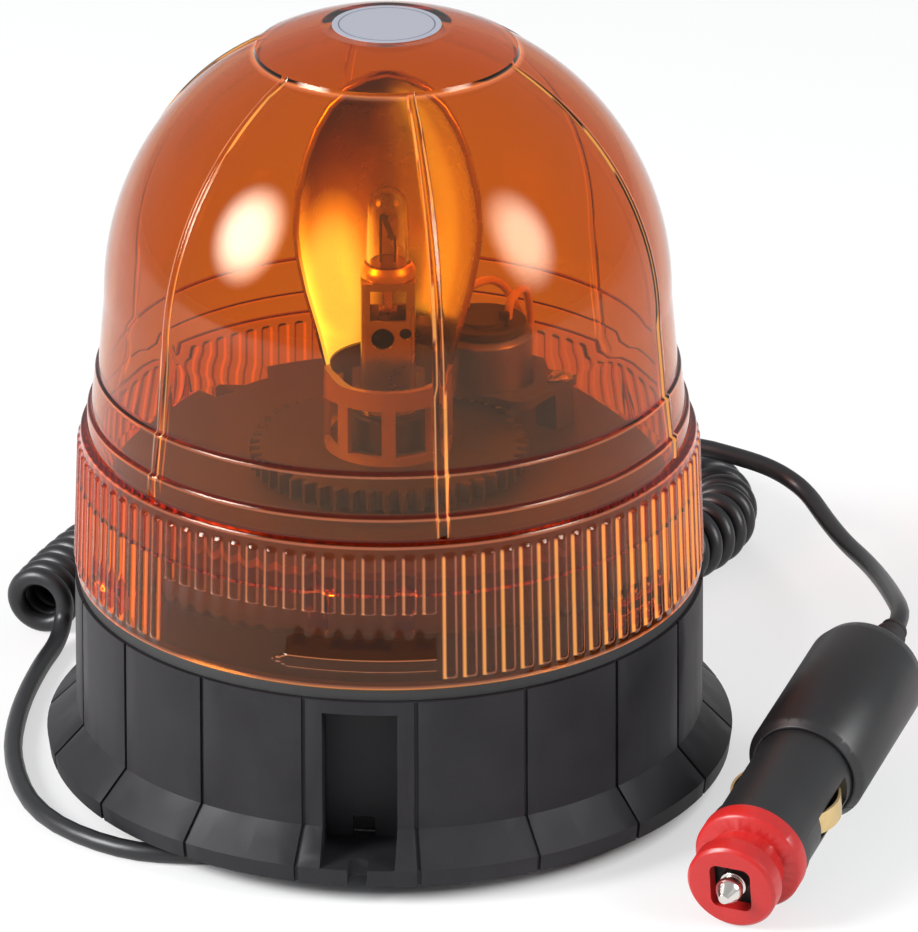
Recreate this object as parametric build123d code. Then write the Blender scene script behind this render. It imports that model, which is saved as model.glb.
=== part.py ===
# Rotating beacon: magnetic base, amber bayonet lens, turning reflector with its motor
# and a curly lead that ends in a 12 V plug. Millimetres, Z up, the origin on the floor
# in the middle of the base. Bearings about Z are degrees from the front, towards +X.
import math
import os

from build123d import *

os.makedirs("parts", exist_ok=True)

# Clearances
GLIDE = 0.06
SLIP = 0.3
FIT = 0.03
ROOM = 0.8

# Base housing
FOOT_GAP = 4.5
WALL_TOP_R = 59.0
WALL_DRAFT = 0.35
FLARE = 5.65
RIM_DRAFT = 0.4
RIM_T = 3.3
BASE_H = 34.2
BASE_WALL = 2.6
PANELS = 18
GROOVE_W = 0.8
GROOVE_D = 0.5
BASE_OPENING_R = 30.0

# Screw pockets
POCKETS = 3
POCKET_ANGLE = -5.4
POCKET_W = 13.7
POCKET_H = 28.4
POCKET_D = 8.5
POCKET_WALL = 2.0
SLOT_W = 3.6
SLOT_D = 5.0
DRAIN = 4.0

# Spigot and bayonet
SPIGOT_STEP = 5.0
SPIGOT_WALL = 2.0
SPIGOT_H = 10.3
LUG_ARC = 14.0
LUG_T = 2.4
LUG_OUT = 1.5
GASKET_T = 2.3
GASKET_STEP = 0.7

# Bottom plate and magnet
PLATE_Z = 10.5
PLATE_T = 2.0
PLATE_PLAY = 0.55
BOSS_STEP = 16.0
BOSS_R = 4.0
SCREW_R = 1.5
SCREW_L = 14.0
HEAD_R = 3.0
HEAD_T = 2.0
MAGNET_POT_R = 32.0
POT_WALL = 2.0
PAD_T = 1.4
PAD_WALL = 1.4
PAD_LIP = 4.0
MAGNET_BORE_R = 9.0
BOLT_R = 3.0
NUT_AF = 10.0
NUT_T = 5.0

# Deck and bearing post
DECK_H = 22.3
DECK_WALL = 2.0
DECK_TOP = 2.5
DECK_NOTCH_ANGLE = -136.0
DECK_NOTCH_W = 5.0
DECK_NOTCH_D = 6.0
POST_R = 4.5
POST_BORE_R = 3.0
POST_H = 15.0
POST_FLANGE_R = 9.0
POST_FLANGE_T = 2.0
CLIP_GROOVE_D = 0.5
CLIP_T = 0.8
CLIP_R = 6.5

# Rotor
GEAR_MODULE = 1.0
GEAR_TEETH = 50
PINION_TEETH = 10
GEAR_T = 4.0
GEAR_RIM = 3.0
WEB_T = 2.0
BUSH_WALL = 1.5
BUSH_H = 10.9
BUSH_FLANGE_R = 7.5
BUSH_FLANGE_T = 0.7
HUB_WALL = 2.0
DRUM_R = 12.0
DRUM_WALL = 1.2
DRUM_H = 14.6
DRUM_SEAT_H = 1.5
DRUM_BAND = 4.5
DRUM_SLOTS = 8
DRUM_BAR = 2.6

# Reflector
REFLECTOR_H = 57.0
REFLECTOR_WALL = 1.1
REFLECTOR_MAX_R = 17.5
REFLECTOR_FRONT = 1.5
COLLAR_H = 5.0

# Motor
MOTOR_ANGLE = 143.1
MOTOR_R = 9.5
MOTOR_H = 8.6
CAP_R = 8.3
CAP_H = 2.4
BRIDGE_T = 1.8
BRIDGE_W = 31.0
BRIDGE_IN = 9.0
BRIDGE_OUT = 11.0
LEG_T = 3.5
LEG_IN = 2.0
SHAFT_R = 1.0
MOTOR_WIRE_R = 0.8
LEAD_HOLE_R = 2.0
LEAD_HOLE_OUT = 3.5

# Bulb and its holder
HOLDER_W = 10.2
HOLDER_D = 9.0
HOLDER_H = 22.0
SHEET = 0.7
WINDOW_W = 6.6
WINDOW_H = 6.0
HOLDER_HOLE_R = 2.1
BULB_FLANGE_R = 5.1
BULB_FLANGE_T = 2.7
GLASS_R = 4.1
GLASS_H = 15.3
GLASS_WALL = 0.7
TERMINAL_W = 1.6
TERMINAL_FOOT = 3.4

# Lens
LENS_STEP = 0.3
SKIRT_DRAFT = 1.3
RING_C_H = 27.9
RING_B_STEP = 1.4
RING_B_H = 32.65
RING_A_STEP = 1.6
RING_A_H = 40.35
LEDGE_H = 0.45
DOME_STEP = 0.7
DOME_DRAFT = 1.24
DOME_CENTRE_H = 54.45
LENS_WALL = 2.2
CAP_RING_R = 24.3
CAP_STEP = 0.5
TOP_FLAT_R = 12.0
RIBS = 6
RIB_FIRST = 10.0
RIB_W = 2.0
RIB_H = 0.4
FLUTES = 100
FLUTE_H = 0.55
FLUTE_LOW = 2.1
FLUTE_TOP = 25.6
SHORT_FLUTE_LOW = 14.9
WINDOW_FROM = -45.0
WINDOW_TO = 9.0
INNER_BAND_LOW = 17.5
INNER_BAND_T = 1.2
GUIDE_W = 3.5
GUIDE_GAP = 15.8
GUIDE_DROP = 7.0
LABEL_R = 10.0
LABEL_T = 0.15
LENS_TWIST = 22.0

# Cord
CORD_D = 3.6
COIL_D = 14.4
GROMMET_R = 5.0
GROMMET_NECK_R = 3.4
GROMMET_BORE_R = 1.0
GROMMET_LIP = 1.3
GROMMET_STEP = 15.1
GROMMET_ANGLE = -30.07

# Plug, measured back from the face of the red adapter
PLUG_AT = (61.1, -73.9, 8.52)
PLUG_HEADING = 24.0
PLUG_RISE = 10.0
ADAPTER_R = 10.2
ADAPTER_FACE_R = 8.5
ADAPTER_NECK_R = 7.3
ADAPTER_L = 12.4
ADAPTER_FLANGE = 4.0
ADAPTER_OPENING = 7.8
PIN_R = 6.0
NOSE_R = 9.4
NOSE_RING_R = 9.8
NOSE_RING_T = 2.2
NOSE_L = 25.0
BODY_R = 11.4
BODY_L = 37.5
BODY_WALL = 1.8
BODY_CHAMFER = 1.8
GRIP_RIBS = 6
GRIP_W = 15.0
TIP_R = 2.55
TIP_OUT = 3.6
TIP_L = 14.0
TIP_TRAVEL = 3.0
FUSE_R = 3.1
FUSE_L = 20.0
CONTACT_W = 4.4
CONTACT_T = 0.5
CONTACT_L = 13.0
CONTACT_OUT = 0.9
CONTACT_TRAVEL = 0.8
CONTACT_SEAT_R = 6.9
CONTACT_TAB = 1.4
RELIEF_R = 4.3
RELIEF_END_R = 2.6
RELIEF_L = 11.5
RELIEF_RIBS = 4

# Radii worked out from the sizes above
WALL_LOW_R = WALL_TOP_R + WALL_DRAFT
RIM_R = WALL_LOW_R + FLARE
RIM_LOW_R = RIM_R - RIM_DRAFT
SPIGOT_R = WALL_TOP_R - SPIGOT_STEP
BASE_LUG_R = SPIGOT_R + LUG_OUT
LENS_LUG_R = SPIGOT_R + SLIP + 0.1
GASKET_R = WALL_TOP_R - GASKET_STEP
PLATE_R = WALL_LOW_R - BASE_WALL - PLATE_PLAY
BOSS_RING_R = WALL_TOP_R - BOSS_STEP
DECK_R = SPIGOT_R - SPIGOT_WALL - ROOM
LENS_LOW_R = WALL_TOP_R - LENS_STEP
RING_C_R = LENS_LOW_R - SKIRT_DRAFT
RING_B_R = RING_C_R - RING_B_STEP
RING_A_R = RING_B_R - RING_A_STEP
DOME_LOW_R = RING_A_R - DOME_STEP
DOME_R = DOME_LOW_R - DOME_DRAFT

# Levels worked out from the sizes above
BASE_TOP = FOOT_GAP + BASE_H
RIM_TOP = FOOT_GAP + RIM_T
FLARE_TOP = RIM_TOP + FLARE
PLATE_TOP = PLATE_Z + PLATE_T
SHELF = BASE_TOP - BASE_WALL
LENS_Z = BASE_TOP + GASKET_T
DECK_Z = BASE_TOP + DECK_H
ROTOR_Z = DECK_Z + GLIDE + BUSH_FLANGE_T
POST_TOP = DECK_Z + POST_H
BUSH_TOP = ROTOR_Z - BUSH_FLANGE_T + BUSH_H
WEB_TOP = ROTOR_Z + GEAR_T
DRUM_TOP = WEB_TOP + DRUM_H
HOLDER_TOP = POST_TOP + HOLDER_H
GEAR_PITCH_R = GEAR_MODULE * GEAR_TEETH / 2
PINION_PITCH_R = GEAR_MODULE * PINION_TEETH / 2
MOTOR_RING_R = GEAR_PITCH_R + PINION_PITCH_R + 0.1
BRIDGE_Z = ROTOR_Z + GEAR_T + 1.5
MOTOR_Z = BRIDGE_Z + BRIDGE_T
DOME_CENTRE = LENS_Z + DOME_CENTRE_H
BODY_END = ADAPTER_L + GLIDE + NOSE_L + BODY_L


def bearing(angle):
    """Turn about Z that brings +X to a bearing from the front."""
    return Rot(0, 0, angle - 90)


def around(radius, angle, z=0.0):
    """Point on a circle about Z at a bearing from the front."""
    a = math.radians(angle)
    return (radius * math.sin(a), -radius * math.cos(a), z)


def turned(*points):
    """Solid of revolution about Z of an outline of (radius, height) points."""
    return revolve(make_face(Plane.XZ * Polyline(*points, close=True)), Axis.Z)


def tube(r_out, r_in, z0, z1):
    return turned((r_in, z0), (r_out, z0), (r_out, z1), (r_in, z1))


def disc(r, z0, z1):
    return Pos(0, 0, z0) * Cylinder(r, z1 - z0, align=(Align.CENTER, Align.CENTER, Align.MIN))


def block(x0, x1, y0, y1, z0, z1):
    return Pos((x0 + x1) / 2, (y0 + y1) / 2, (z0 + z1) / 2) * Box(x1 - x0, y1 - y0, z1 - z0)


def radial_blade(outline, width):
    """Upright blade of an outline of (radius, height) points, centred on +X."""
    return extrude(make_face(Plane.XZ * Polyline(*outline, close=True)), width / 2, both=True)


def sector(r_out, r_in, z0, z1, angle, arc):
    """Part of a ring, centred at a bearing from the front."""
    face = make_face(Plane.XZ * Polyline((r_in, z0), (r_out, z0), (r_out, z1), (r_in, z1), close=True))
    return bearing(angle - arc / 2) * revolve(face, Axis.Z, arc)


def fused(first, others):
    for other in others:
        first = first + other
    return first


def write(name, shape):
    export_step(shape, f"parts/{name}.step")


GROMMET_AT = around(WALL_TOP_R - GROMMET_STEP, GROMMET_ANGLE)[:2]


# Base housing

def pocket_angles():
    return [POCKET_ANGLE + k * 360 / POCKETS for k in range(POCKETS)]


def boss_angles():
    return [a + 180 / POCKETS for a in pocket_angles()]


def base_skin(depth):
    """Outline of the outer face, from the rim up, moved inwards by a depth."""
    return [
        (RIM_LOW_R - depth, FOOT_GAP),
        (RIM_R - depth, RIM_TOP - 0.4 * depth),
        (WALL_LOW_R - depth, FLARE_TOP - 0.4 * depth),
        (WALL_TOP_R - depth, BASE_TOP),
    ]


def base_housing():
    inner = [(r, z) for r, z in base_skin(BASE_WALL)]
    inner[-1] = (inner[-1][0], SHELF)
    shell = turned(
        *base_skin(0),
        (SPIGOT_R, BASE_TOP),
        (SPIGOT_R, BASE_TOP + SPIGOT_H),
        (SPIGOT_R - SPIGOT_WALL, BASE_TOP + SPIGOT_H),
        (SPIGOT_R - SPIGOT_WALL, BASE_TOP),
        (BASE_OPENING_R, BASE_TOP),
        (BASE_OPENING_R, SHELF),
        *reversed(inner),
    )
    back_r = WALL_LOW_R - POCKET_D
    half = POCKET_W / 2
    for angle in pocket_angles():
        walls = block(back_r - POCKET_WALL, WALL_TOP_R - 1, -half - POCKET_WALL, half + POCKET_WALL,
                      RIM_TOP, BASE_TOP)
        floor = block(back_r - POCKET_WALL, RIM_R - BASE_WALL, -half - POCKET_WALL,
                      half + POCKET_WALL, FOOT_GAP, RIM_TOP)
        recess = block(back_r, RIM_R + 1, -half, half, RIM_TOP, RIM_TOP + POCKET_H)
        slot = block(RIM_R - SLOT_D + SLOT_W / 2, RIM_R + 1, -SLOT_W / 2, SLOT_W / 2, 0, RIM_TOP)
        slot += Pos(RIM_R - SLOT_D + SLOT_W / 2, 0, 0) * disc(SLOT_W / 2, 0, RIM_TOP)
        drain = block(back_r - POCKET_WALL - 1, back_r + 1, -DRAIN / 2, DRAIN / 2,
                      RIM_TOP, RIM_TOP + DRAIN)
        shell += bearing(angle) * (walls + floor)
        shell -= bearing(angle) * (recess + slot + drain)
    groove_band = base_skin(GROOVE_D) + [(RIM_R + 1, BASE_TOP), (RIM_R + 1, FOOT_GAP)]
    groove = radial_blade(groove_band, GROOVE_W)
    for k in range(PANELS):
        shell -= bearing(POCKET_ANGLE + (k + 0.5) * 360 / PANELS) * groove
    for angle in boss_angles():
        shell += Pos(*around(BOSS_RING_R, angle)) * tube(BOSS_R, SCREW_R, PLATE_TOP, SHELF)
        shell += sector(BASE_LUG_R, SPIGOT_R - 1, BASE_TOP + SPIGOT_H - LUG_T,
                        BASE_TOP + SPIGOT_H, angle, LUG_ARC)
    for angle in deck_screw_angles():
        shell -= Pos(*around(BOSS_RING_R, angle)) * disc(SCREW_R + GLIDE, SHELF - 1, BASE_TOP + 1)
    return shell


def lens_gasket():
    return tube(GASKET_R, SPIGOT_R + SLIP, BASE_TOP, LENS_Z - GLIDE)


# Bottom plate and magnet

def bottom_plate():
    plate = disc(PLATE_R, PLATE_Z, PLATE_TOP)
    back_r = WALL_LOW_R - POCKET_D - POCKET_WALL - SLIP
    half = POCKET_W / 2 + POCKET_WALL + SLIP
    for angle in pocket_angles():
        plate -= bearing(angle) * block(back_r, RIM_R, -half, half, PLATE_Z - 1, PLATE_TOP + 1)
    for angle in boss_angles():
        plate -= Pos(*around(BOSS_RING_R, angle)) * disc(SCREW_R + GLIDE, PLATE_Z - 1, PLATE_TOP + 1)
    plate -= disc(BOLT_R + GLIDE, PLATE_Z - 1, PLATE_TOP + 1)
    plate -= Pos(*GROMMET_AT) * disc(GROMMET_NECK_R + GLIDE, PLATE_Z - 1, PLATE_TOP + 1)
    return plate


def screw(radius, length, head_r, head_t):
    """Pan-head screw that points up, its head's seat at z = 0."""
    head = turned((0, -head_t), (head_r * 0.7, -head_t), (head_r, -head_t * 0.5), (head_r, 0), (0, 0))
    slot = block(-head_r, head_r, -0.4, 0.4, -head_t - 1, -head_t + 0.7)
    return head + disc(radius, 0, length) - slot


def bottom_screws():
    one = screw(SCREW_R - FIT, SCREW_L, HEAD_R, HEAD_T)
    return Compound([Pos(*around(BOSS_RING_R, a, PLATE_Z)) * one for a in boss_angles()])


def magnet_pot():
    low = PAD_T + GLIDE
    pot = turned(
        (BOLT_R + FIT, PLATE_Z), (BOLT_R + FIT, PLATE_Z - POT_WALL), (MAGNET_POT_R - POT_WALL, PLATE_Z - POT_WALL),
        (MAGNET_POT_R - POT_WALL, low), (MAGNET_POT_R, low), (MAGNET_POT_R, PLATE_Z),
    )
    return pot


def ring_magnet():
    return tube(MAGNET_POT_R - POT_WALL - SLIP, MAGNET_BORE_R, PAD_T + SLIP, PLATE_Z - POT_WALL)


def magnet_pad():
    return turned(
        (0, 0), (MAGNET_POT_R + PAD_WALL - 0.6, 0), (MAGNET_POT_R + PAD_WALL, 0.6),
        (MAGNET_POT_R + PAD_WALL, PAD_LIP), (MAGNET_POT_R + GLIDE, PAD_LIP),
        (MAGNET_POT_R + GLIDE, PAD_T), (0, PAD_T),
    )


def magnet_bolt():
    head_r = MAGNET_BORE_R - 2
    head = disc(head_r, PLATE_Z - POT_WALL - 2.5, PLATE_Z - POT_WALL)
    return head + disc(BOLT_R, PLATE_Z - POT_WALL, PLATE_TOP + NUT_T + 2)


def magnet_nut():
    hexagon = extrude(RegularPolygon(NUT_AF / 2, 6, major_radius=False), NUT_T)
    return Pos(0, 0, PLATE_TOP) * (hexagon - disc(BOLT_R + FIT, -1, NUT_T + 1))


def cable_grommet():
    body = turned(
        (GROMMET_BORE_R, PLATE_Z - GROMMET_LIP), (GROMMET_R - 0.6, PLATE_Z - GROMMET_LIP),
        (GROMMET_R, PLATE_Z), (GROMMET_NECK_R, PLATE_Z), (GROMMET_NECK_R, PLATE_TOP),
        (GROMMET_R - 0.5, PLATE_TOP), (GROMMET_NECK_R, PLATE_TOP + 2.5), (GROMMET_BORE_R, PLATE_TOP + 2.5),
    )
    return Pos(*GROMMET_AT) * body


TERMINAL_AT = (-8.0, -22.0)
TERMINAL_SIZE = (18.0, 10.0, 9.0)


def terminal_block():
    w, d, h = TERMINAL_SIZE
    body = block(-w / 2, w / 2, -d / 2, d / 2, PLATE_TOP, PLATE_TOP + h)
    body -= block(-0.6, 0.6, -d, d, PLATE_TOP + h * 0.55, PLATE_TOP + h + 1)
    for x in (-w / 4, w / 4):
        body -= block(x - 1.2, x + 1.2, -1.5, 3.7, PLATE_TOP + h * 0.5, PLATE_TOP + h + 1)
    return Pos(*TERMINAL_AT) * body


def wire(points, radius):
    """Round wire along straight runs joined by arcs."""
    path = FilletPolyline(*points, radius=bend_radii(points))
    return sweep_round(path, points, radius)


def bend_radii(points):
    radii = []
    for a, b, c in zip(points, points[1:], points[2:]):
        run_in = Vector(*b) - Vector(*a)
        run_out = Vector(*c) - Vector(*b)
        turn = math.radians(run_in.get_angle(run_out))
        radii.append(0.45 * min(run_in.length, run_out.length) / math.tan(turn / 2))
    return radii


def sweep_round(path, points, radius):
    start = Vector(*points[0])
    section = Plane(origin=start, z_dir=Vector(*points[1]) - start) * Circle(radius)
    return sweep(section, path)


def inner_wires():
    gx, gy = GROMMET_AT
    tx, ty = TERMINAL_AT
    top = PLATE_TOP + TERMINAL_SIZE[2]
    feed = []
    for side in (-1, 1):
        x = tx + side * TERMINAL_SIZE[0] / 4
        feed.append(wire([(gx + side * 0.9, gy, PLATE_TOP + 2.6), (gx + side, gy, PLATE_TOP + 9),
                          (x, ty - 8, top + 4), (x, ty, top + 3), (x, ty, top - 3)], 0.7))
        feed.append(wire([(x, ty + 2.2, top - 3), (x, ty + 2.2, top + 5), (side * 1.4, ty * 0.45, top * 1.4),
                          (side * 1.1, 0, (top + DECK_Z) / 2), (side * 1.1, 0, POST_TOP - 1)], 0.7))
    return Compound(feed)


# Deck and bearing post

def deck_screw_angles():
    return [a + 40 for a in pocket_angles()]


def chassis_deck():
    deck = turned(
        (DECK_R, BASE_TOP), (DECK_R, DECK_Z - 1), (DECK_R - 1, DECK_Z), (POST_R + GLIDE, DECK_Z),
        (POST_R + GLIDE, DECK_Z - DECK_TOP), (DECK_R - DECK_WALL, DECK_Z - DECK_TOP),
        (DECK_R - DECK_WALL, BASE_TOP),
    )
    for angle in deck_screw_angles():
        deck += Pos(*around(BOSS_RING_R, angle)) * tube(BOSS_R - 0.5, SCREW_R, BASE_TOP, DECK_Z - DECK_TOP)
    notch = block(DECK_R - DECK_NOTCH_D, DECK_R + 1, -DECK_NOTCH_W / 2, DECK_NOTCH_W / 2,
                  DECK_Z - 8, DECK_Z + 1)
    deck -= bearing(DECK_NOTCH_ANGLE) * notch
    for side in (-1, 1):
        deck -= motor_place() * (Pos(leg_centre()[0], side * leg_centre()[1], 0)
                                 * disc(SCREW_R, DECK_Z - DECK_TOP - 1, DECK_Z + 1))
    deck -= motor_place() * (Pos(BRIDGE_OUT + LEAD_HOLE_OUT, 0, 0) * disc(LEAD_HOLE_R, DECK_Z - DECK_TOP - 1, DECK_Z + 1))
    return deck


def deck_screws():
    one = screw(SCREW_R - FIT, SCREW_L, HEAD_R, HEAD_T)
    return Compound([Pos(*around(BOSS_RING_R, a, SHELF)) * one for a in deck_screw_angles()])


def bearing_post():
    under = DECK_Z - DECK_TOP
    groove_low = BUSH_TOP + SLIP
    groove_r = POST_R - CLIP_GROOVE_D
    return turned(
        (POST_BORE_R, under - POST_FLANGE_T), (POST_FLANGE_R, under - POST_FLANGE_T),
        (POST_FLANGE_R, under), (POST_R, under), (POST_R, groove_low), (groove_r, groove_low),
        (groove_r, groove_low + CLIP_T + 0.1), (POST_R, groove_low + CLIP_T + 0.1),
        (POST_R, POST_TOP), (POST_BORE_R, POST_TOP),
    )


def retaining_ring():
    low = BUSH_TOP + SLIP
    ring = tube(CLIP_R, POST_R - CLIP_GROOVE_D + GLIDE, low, low + CLIP_T)
    return ring - block(-1.5, 1.5, 0, CLIP_R + 1, low - 1, low + CLIP_T + 1)


# Rotor: bush, gear, drum and reflector

def hub_bush():
    low = ROTOR_Z - BUSH_FLANGE_T
    r_in = POST_R + GLIDE
    r_out = r_in + BUSH_WALL
    return turned((r_in, low), (BUSH_FLANGE_R, low), (BUSH_FLANGE_R, ROTOR_Z), (r_out, ROTOR_Z),
                  (r_out, BUSH_TOP), (r_in, BUSH_TOP))


def toothed(teeth, phase):
    """Face of a spur gear with straight-flanked teeth and a little backlash."""
    pitch_r = GEAR_MODULE * teeth / 2
    root = pitch_r - 1.2 * GEAR_MODULE
    tip = pitch_r + 0.85 * GEAR_MODULE
    outline = []
    for k in range(teeth):
        middle = 2 * math.pi * k / teeth + math.radians(phase)
        for r, half in ((root, 0.95), (tip, 0.33), (tip, -0.33), (root, -0.95)):
            a = middle - half * GEAR_MODULE / r
            outline.append((r * math.cos(a), r * math.sin(a)))
    return make_face(Polyline(*outline, close=True))


def rotor_hub():
    """Gear on a web and a hub, with a low ring that centres the drum."""
    teeth_root = GEAR_PITCH_R - 1.2 * GEAR_MODULE
    gear = Pos(0, 0, ROTOR_Z) * extrude(toothed(GEAR_TEETH, MOTOR_ANGLE - 90), GEAR_T)
    gear -= disc(teeth_root - GEAR_RIM, ROTOR_Z - 1, ROTOR_Z + GEAR_T + 1)
    bore = POST_R + GLIDE + BUSH_WALL + FIT
    hub = tube(bore + HUB_WALL, bore, ROTOR_Z, BUSH_TOP)
    web = tube(teeth_root - GEAR_RIM + 0.5, bore + 0.5, WEB_TOP - WEB_T, WEB_TOP)
    seat_r = DRUM_R - DRUM_WALL - GLIDE
    seat = tube(seat_r, seat_r - DRUM_WALL, WEB_TOP - 1, WEB_TOP + DRUM_SEAT_H)
    return gear + hub + web + seat


def reflector_drum():
    """Slotted drum that stands on the gear's web and carries the reflector."""
    drum = tube(DRUM_R, DRUM_R - DRUM_WALL, WEB_TOP, DRUM_TOP)
    slot_arc = 360 / DRUM_SLOTS - math.degrees(DRUM_BAR / DRUM_R)
    for k in range(DRUM_SLOTS):
        drum -= sector(DRUM_R + 1, DRUM_R - DRUM_WALL - 1, WEB_TOP + DRUM_SEAT_H, DRUM_TOP - DRUM_BAND,
                       (k + 0.5) * 360 / DRUM_SLOTS, slot_arc)
    return drum


def reflector_profile(inset):
    """Half of the dish's silhouette, a tall rounded hood that grows out of the drum."""
    top = DRUM_TOP + REFLECTOR_H
    return Spline(
        (DRUM_R - inset, DRUM_TOP),
        (DRUM_R + 3.7 - inset, DRUM_TOP + 0.26 * REFLECTOR_H),
        (REFLECTOR_MAX_R - inset, DRUM_TOP + 0.47 * REFLECTOR_H),
        (REFLECTOR_MAX_R - 2.4 - inset, DRUM_TOP + 0.73 * REFLECTOR_H),
        (DRUM_R - 1.2 - inset, DRUM_TOP + 0.89 * REFLECTOR_H),
        (0, top - inset),
        tangents=[(0.22, 1), (-1, 0)],
    )


def reflector():
    outer = reflector_profile(0)
    inner = reflector_profile(REFLECTOR_WALL)
    edges = outer + Line(outer @ 1, inner @ 1) + inner + Line(inner @ 0, outer @ 0)
    hood = revolve(make_face(Plane.XZ * edges), Axis.Z)
    reach = 2 * REFLECTOR_MAX_R
    hood -= block(-reach, reach, -reach, -REFLECTOR_FRONT, DRUM_TOP - 1, DRUM_TOP + REFLECTOR_H + 1)
    collar_r = DRUM_R - DRUM_WALL - GLIDE
    collar = turned(
        (collar_r, DRUM_TOP - COLLAR_H), (collar_r, DRUM_TOP + GLIDE), (DRUM_R, DRUM_TOP + GLIDE),
        (DRUM_R, DRUM_TOP + 1.2), (collar_r - 1, DRUM_TOP + 1.2), (collar_r - 1, DRUM_TOP - COLLAR_H),
    )
    hood -= disc(reach, DRUM_TOP - 1, DRUM_TOP + GLIDE)
    return hood + collar


# Motor

def motor_place():
    """Bearing of the motor, with +X radially outwards through its shaft."""
    return bearing(MOTOR_ANGLE) * Pos(MOTOR_RING_R, 0, 0)


def leg_centre():
    return ((LEG_IN + BRIDGE_OUT) / 2, BRIDGE_W / 2 - LEG_T / 2 - 0.6)


def motor_bracket():
    half = BRIDGE_W / 2
    bridge = block(-BRIDGE_IN, BRIDGE_OUT, -half, half, BRIDGE_Z, MOTOR_Z)
    bridge = fillet(bridge.edges().filter_by(Axis.Z), 3)
    bridge -= disc(SHAFT_R + 2, BRIDGE_Z - 1, MOTOR_Z + 1)
    leg_x, leg_y = leg_centre()
    for side in (-1, 1):
        y0, y1 = sorted((side * half, side * (half - LEG_T - 1.2)))
        bridge += block(LEG_IN, BRIDGE_OUT - 3, y0, y1, DECK_Z, BRIDGE_Z)
        bridge -= Pos(leg_x, side * leg_y, 0) * disc(SCREW_R + GLIDE, DECK_Z - 1, MOTOR_Z + 1)
    return motor_place() * bridge


def motor_screws():
    leg_x, leg_y = leg_centre()
    one = Rot(180, 0, 0) * screw(SCREW_R - FIT, MOTOR_Z - DECK_Z + DECK_TOP + 2, HEAD_R - 0.4, HEAD_T)
    return Compound([motor_place() * Pos(leg_x, s * leg_y, MOTOR_Z) * one for s in (-1, 1)])


def motor_can():
    can = turned(
        (SHAFT_R + FIT * 2, MOTOR_Z), (MOTOR_R, MOTOR_Z), (MOTOR_R, MOTOR_Z + MOTOR_H - 1),
        (MOTOR_R - 1, MOTOR_Z + MOTOR_H), (SHAFT_R + FIT * 2, MOTOR_Z + MOTOR_H),
    )
    return motor_place() * can


def motor_cap():
    low = MOTOR_Z + MOTOR_H
    cap = disc(CAP_R, low, low + CAP_H - 0.8) + disc(CAP_R - 3, low, low + CAP_H)
    for side in (-1, 1):
        cap += block(-0.4, 0.4, side * 5 - 1.1, side * 5 + 1.1, low, low + CAP_H + 2)
    return motor_place() * cap


def motor_pinion():
    gear = extrude(toothed(PINION_TEETH, 180 + 180 / PINION_TEETH), GEAR_T)
    gear = Pos(0, 0, ROTOR_Z) * (gear + Pos(0, 0, GEAR_T) * Cylinder(2.2, 1, align=(Align.CENTER,) * 2 + (Align.MIN,)))
    shaft = disc(SHAFT_R, ROTOR_Z, MOTOR_Z + MOTOR_H - 1)
    return motor_place() * (gear + shaft)


def motor_leads():
    low = MOTOR_Z + MOTOR_H + CAP_H
    leads = []
    for side in (-1, 1):
        leads.append(motor_place() * wire(
            [(1.22, side * 5, low + 0.1), (1.6, side * 5.2, low + 3.8), (9, side * 3.5, low + 4.2),
             (BRIDGE_OUT + LEAD_HOLE_OUT, side * 1.0, low - 4), (BRIDGE_OUT + LEAD_HOLE_OUT, side * 0.9, DECK_Z - 4)],
            MOTOR_WIRE_R))
    return Compound(leads)


# Bulb and its holder

def bulb_holder():
    x = HOLDER_W / 2
    y = HOLDER_D / 2
    low = POST_TOP
    box = block(-x, x, -y, y, low, HOLDER_TOP)
    box = fillet(box.edges().filter_by(Axis.Z), 1.2)
    box -= block(-x + SHEET, x - SHEET, -y + SHEET, y - SHEET, low + SHEET, HOLDER_TOP - SHEET)
    box -= disc(POST_BORE_R, low - 1, low + SHEET + 1)
    box -= disc(GLASS_R, HOLDER_TOP - SHEET - 1, HOLDER_TOP + 1)
    box -= block(-WINDOW_W / 2, WINDOW_W / 2, -y - 1, y + 1, HOLDER_TOP - 1.5 - WINDOW_H, HOLDER_TOP - 1.5)
    box -= Pos(-1, -y, low + 11) * Rot(90, 0, 0) * Cylinder(HOLDER_HOLE_R, 3)
    box -= Pos(3.2, -y, low + 12) * Rot(90, 0, 0) * Cylinder(1.1, 3)
    return box


def bulb_flange():
    return turned(
        (0, HOLDER_TOP), (BULB_FLANGE_R, HOLDER_TOP), (BULB_FLANGE_R, HOLDER_TOP + 1.4),
        (BULB_FLANGE_R - 0.7, HOLDER_TOP + BULB_FLANGE_T), (0, HOLDER_TOP + BULB_FLANGE_T),
    )


def bulb_glass():
    low = HOLDER_TOP + BULB_FLANGE_T
    inner = GLASS_R - GLASS_WALL
    taper = 0.5
    bend = low + GLASS_H - (GLASS_R - taper)
    edges = (
        Line((inner, low), (GLASS_R, low))
        + Line((GLASS_R, low), (GLASS_R - taper, bend))
        + CenterArc((0, bend), GLASS_R - taper, 0, 90)
        + Line((0, bend + GLASS_R - taper), (0, bend + inner - taper))
        + CenterArc((0, bend), inner - taper, 90, -90)
        + Line((inner - taper, bend), (inner, low))
    )
    return revolve(make_face(Plane.XZ * edges), Axis.Z)


def bulb_filament():
    low = HOLDER_TOP + BULB_FLANGE_T
    posts = [Pos(x, 0, 0) * disc(0.25, low, low + h) for x, h in ((-1.3, 9.0), (1.3, 5.0))]
    coil = Pos(0, 0, low + 7) * Rot(0, -20, 0) * Cylinder(0.55, 5)
    arms = [Pos(x / 2, 0, low + h) * Rot(0, 90, 0) * Cylinder(0.22, abs(x) * 1.3) for x, h in ((-1.3, 9.0), (1.3, 5.0))]
    return fused(coil, posts + arms)


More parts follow.
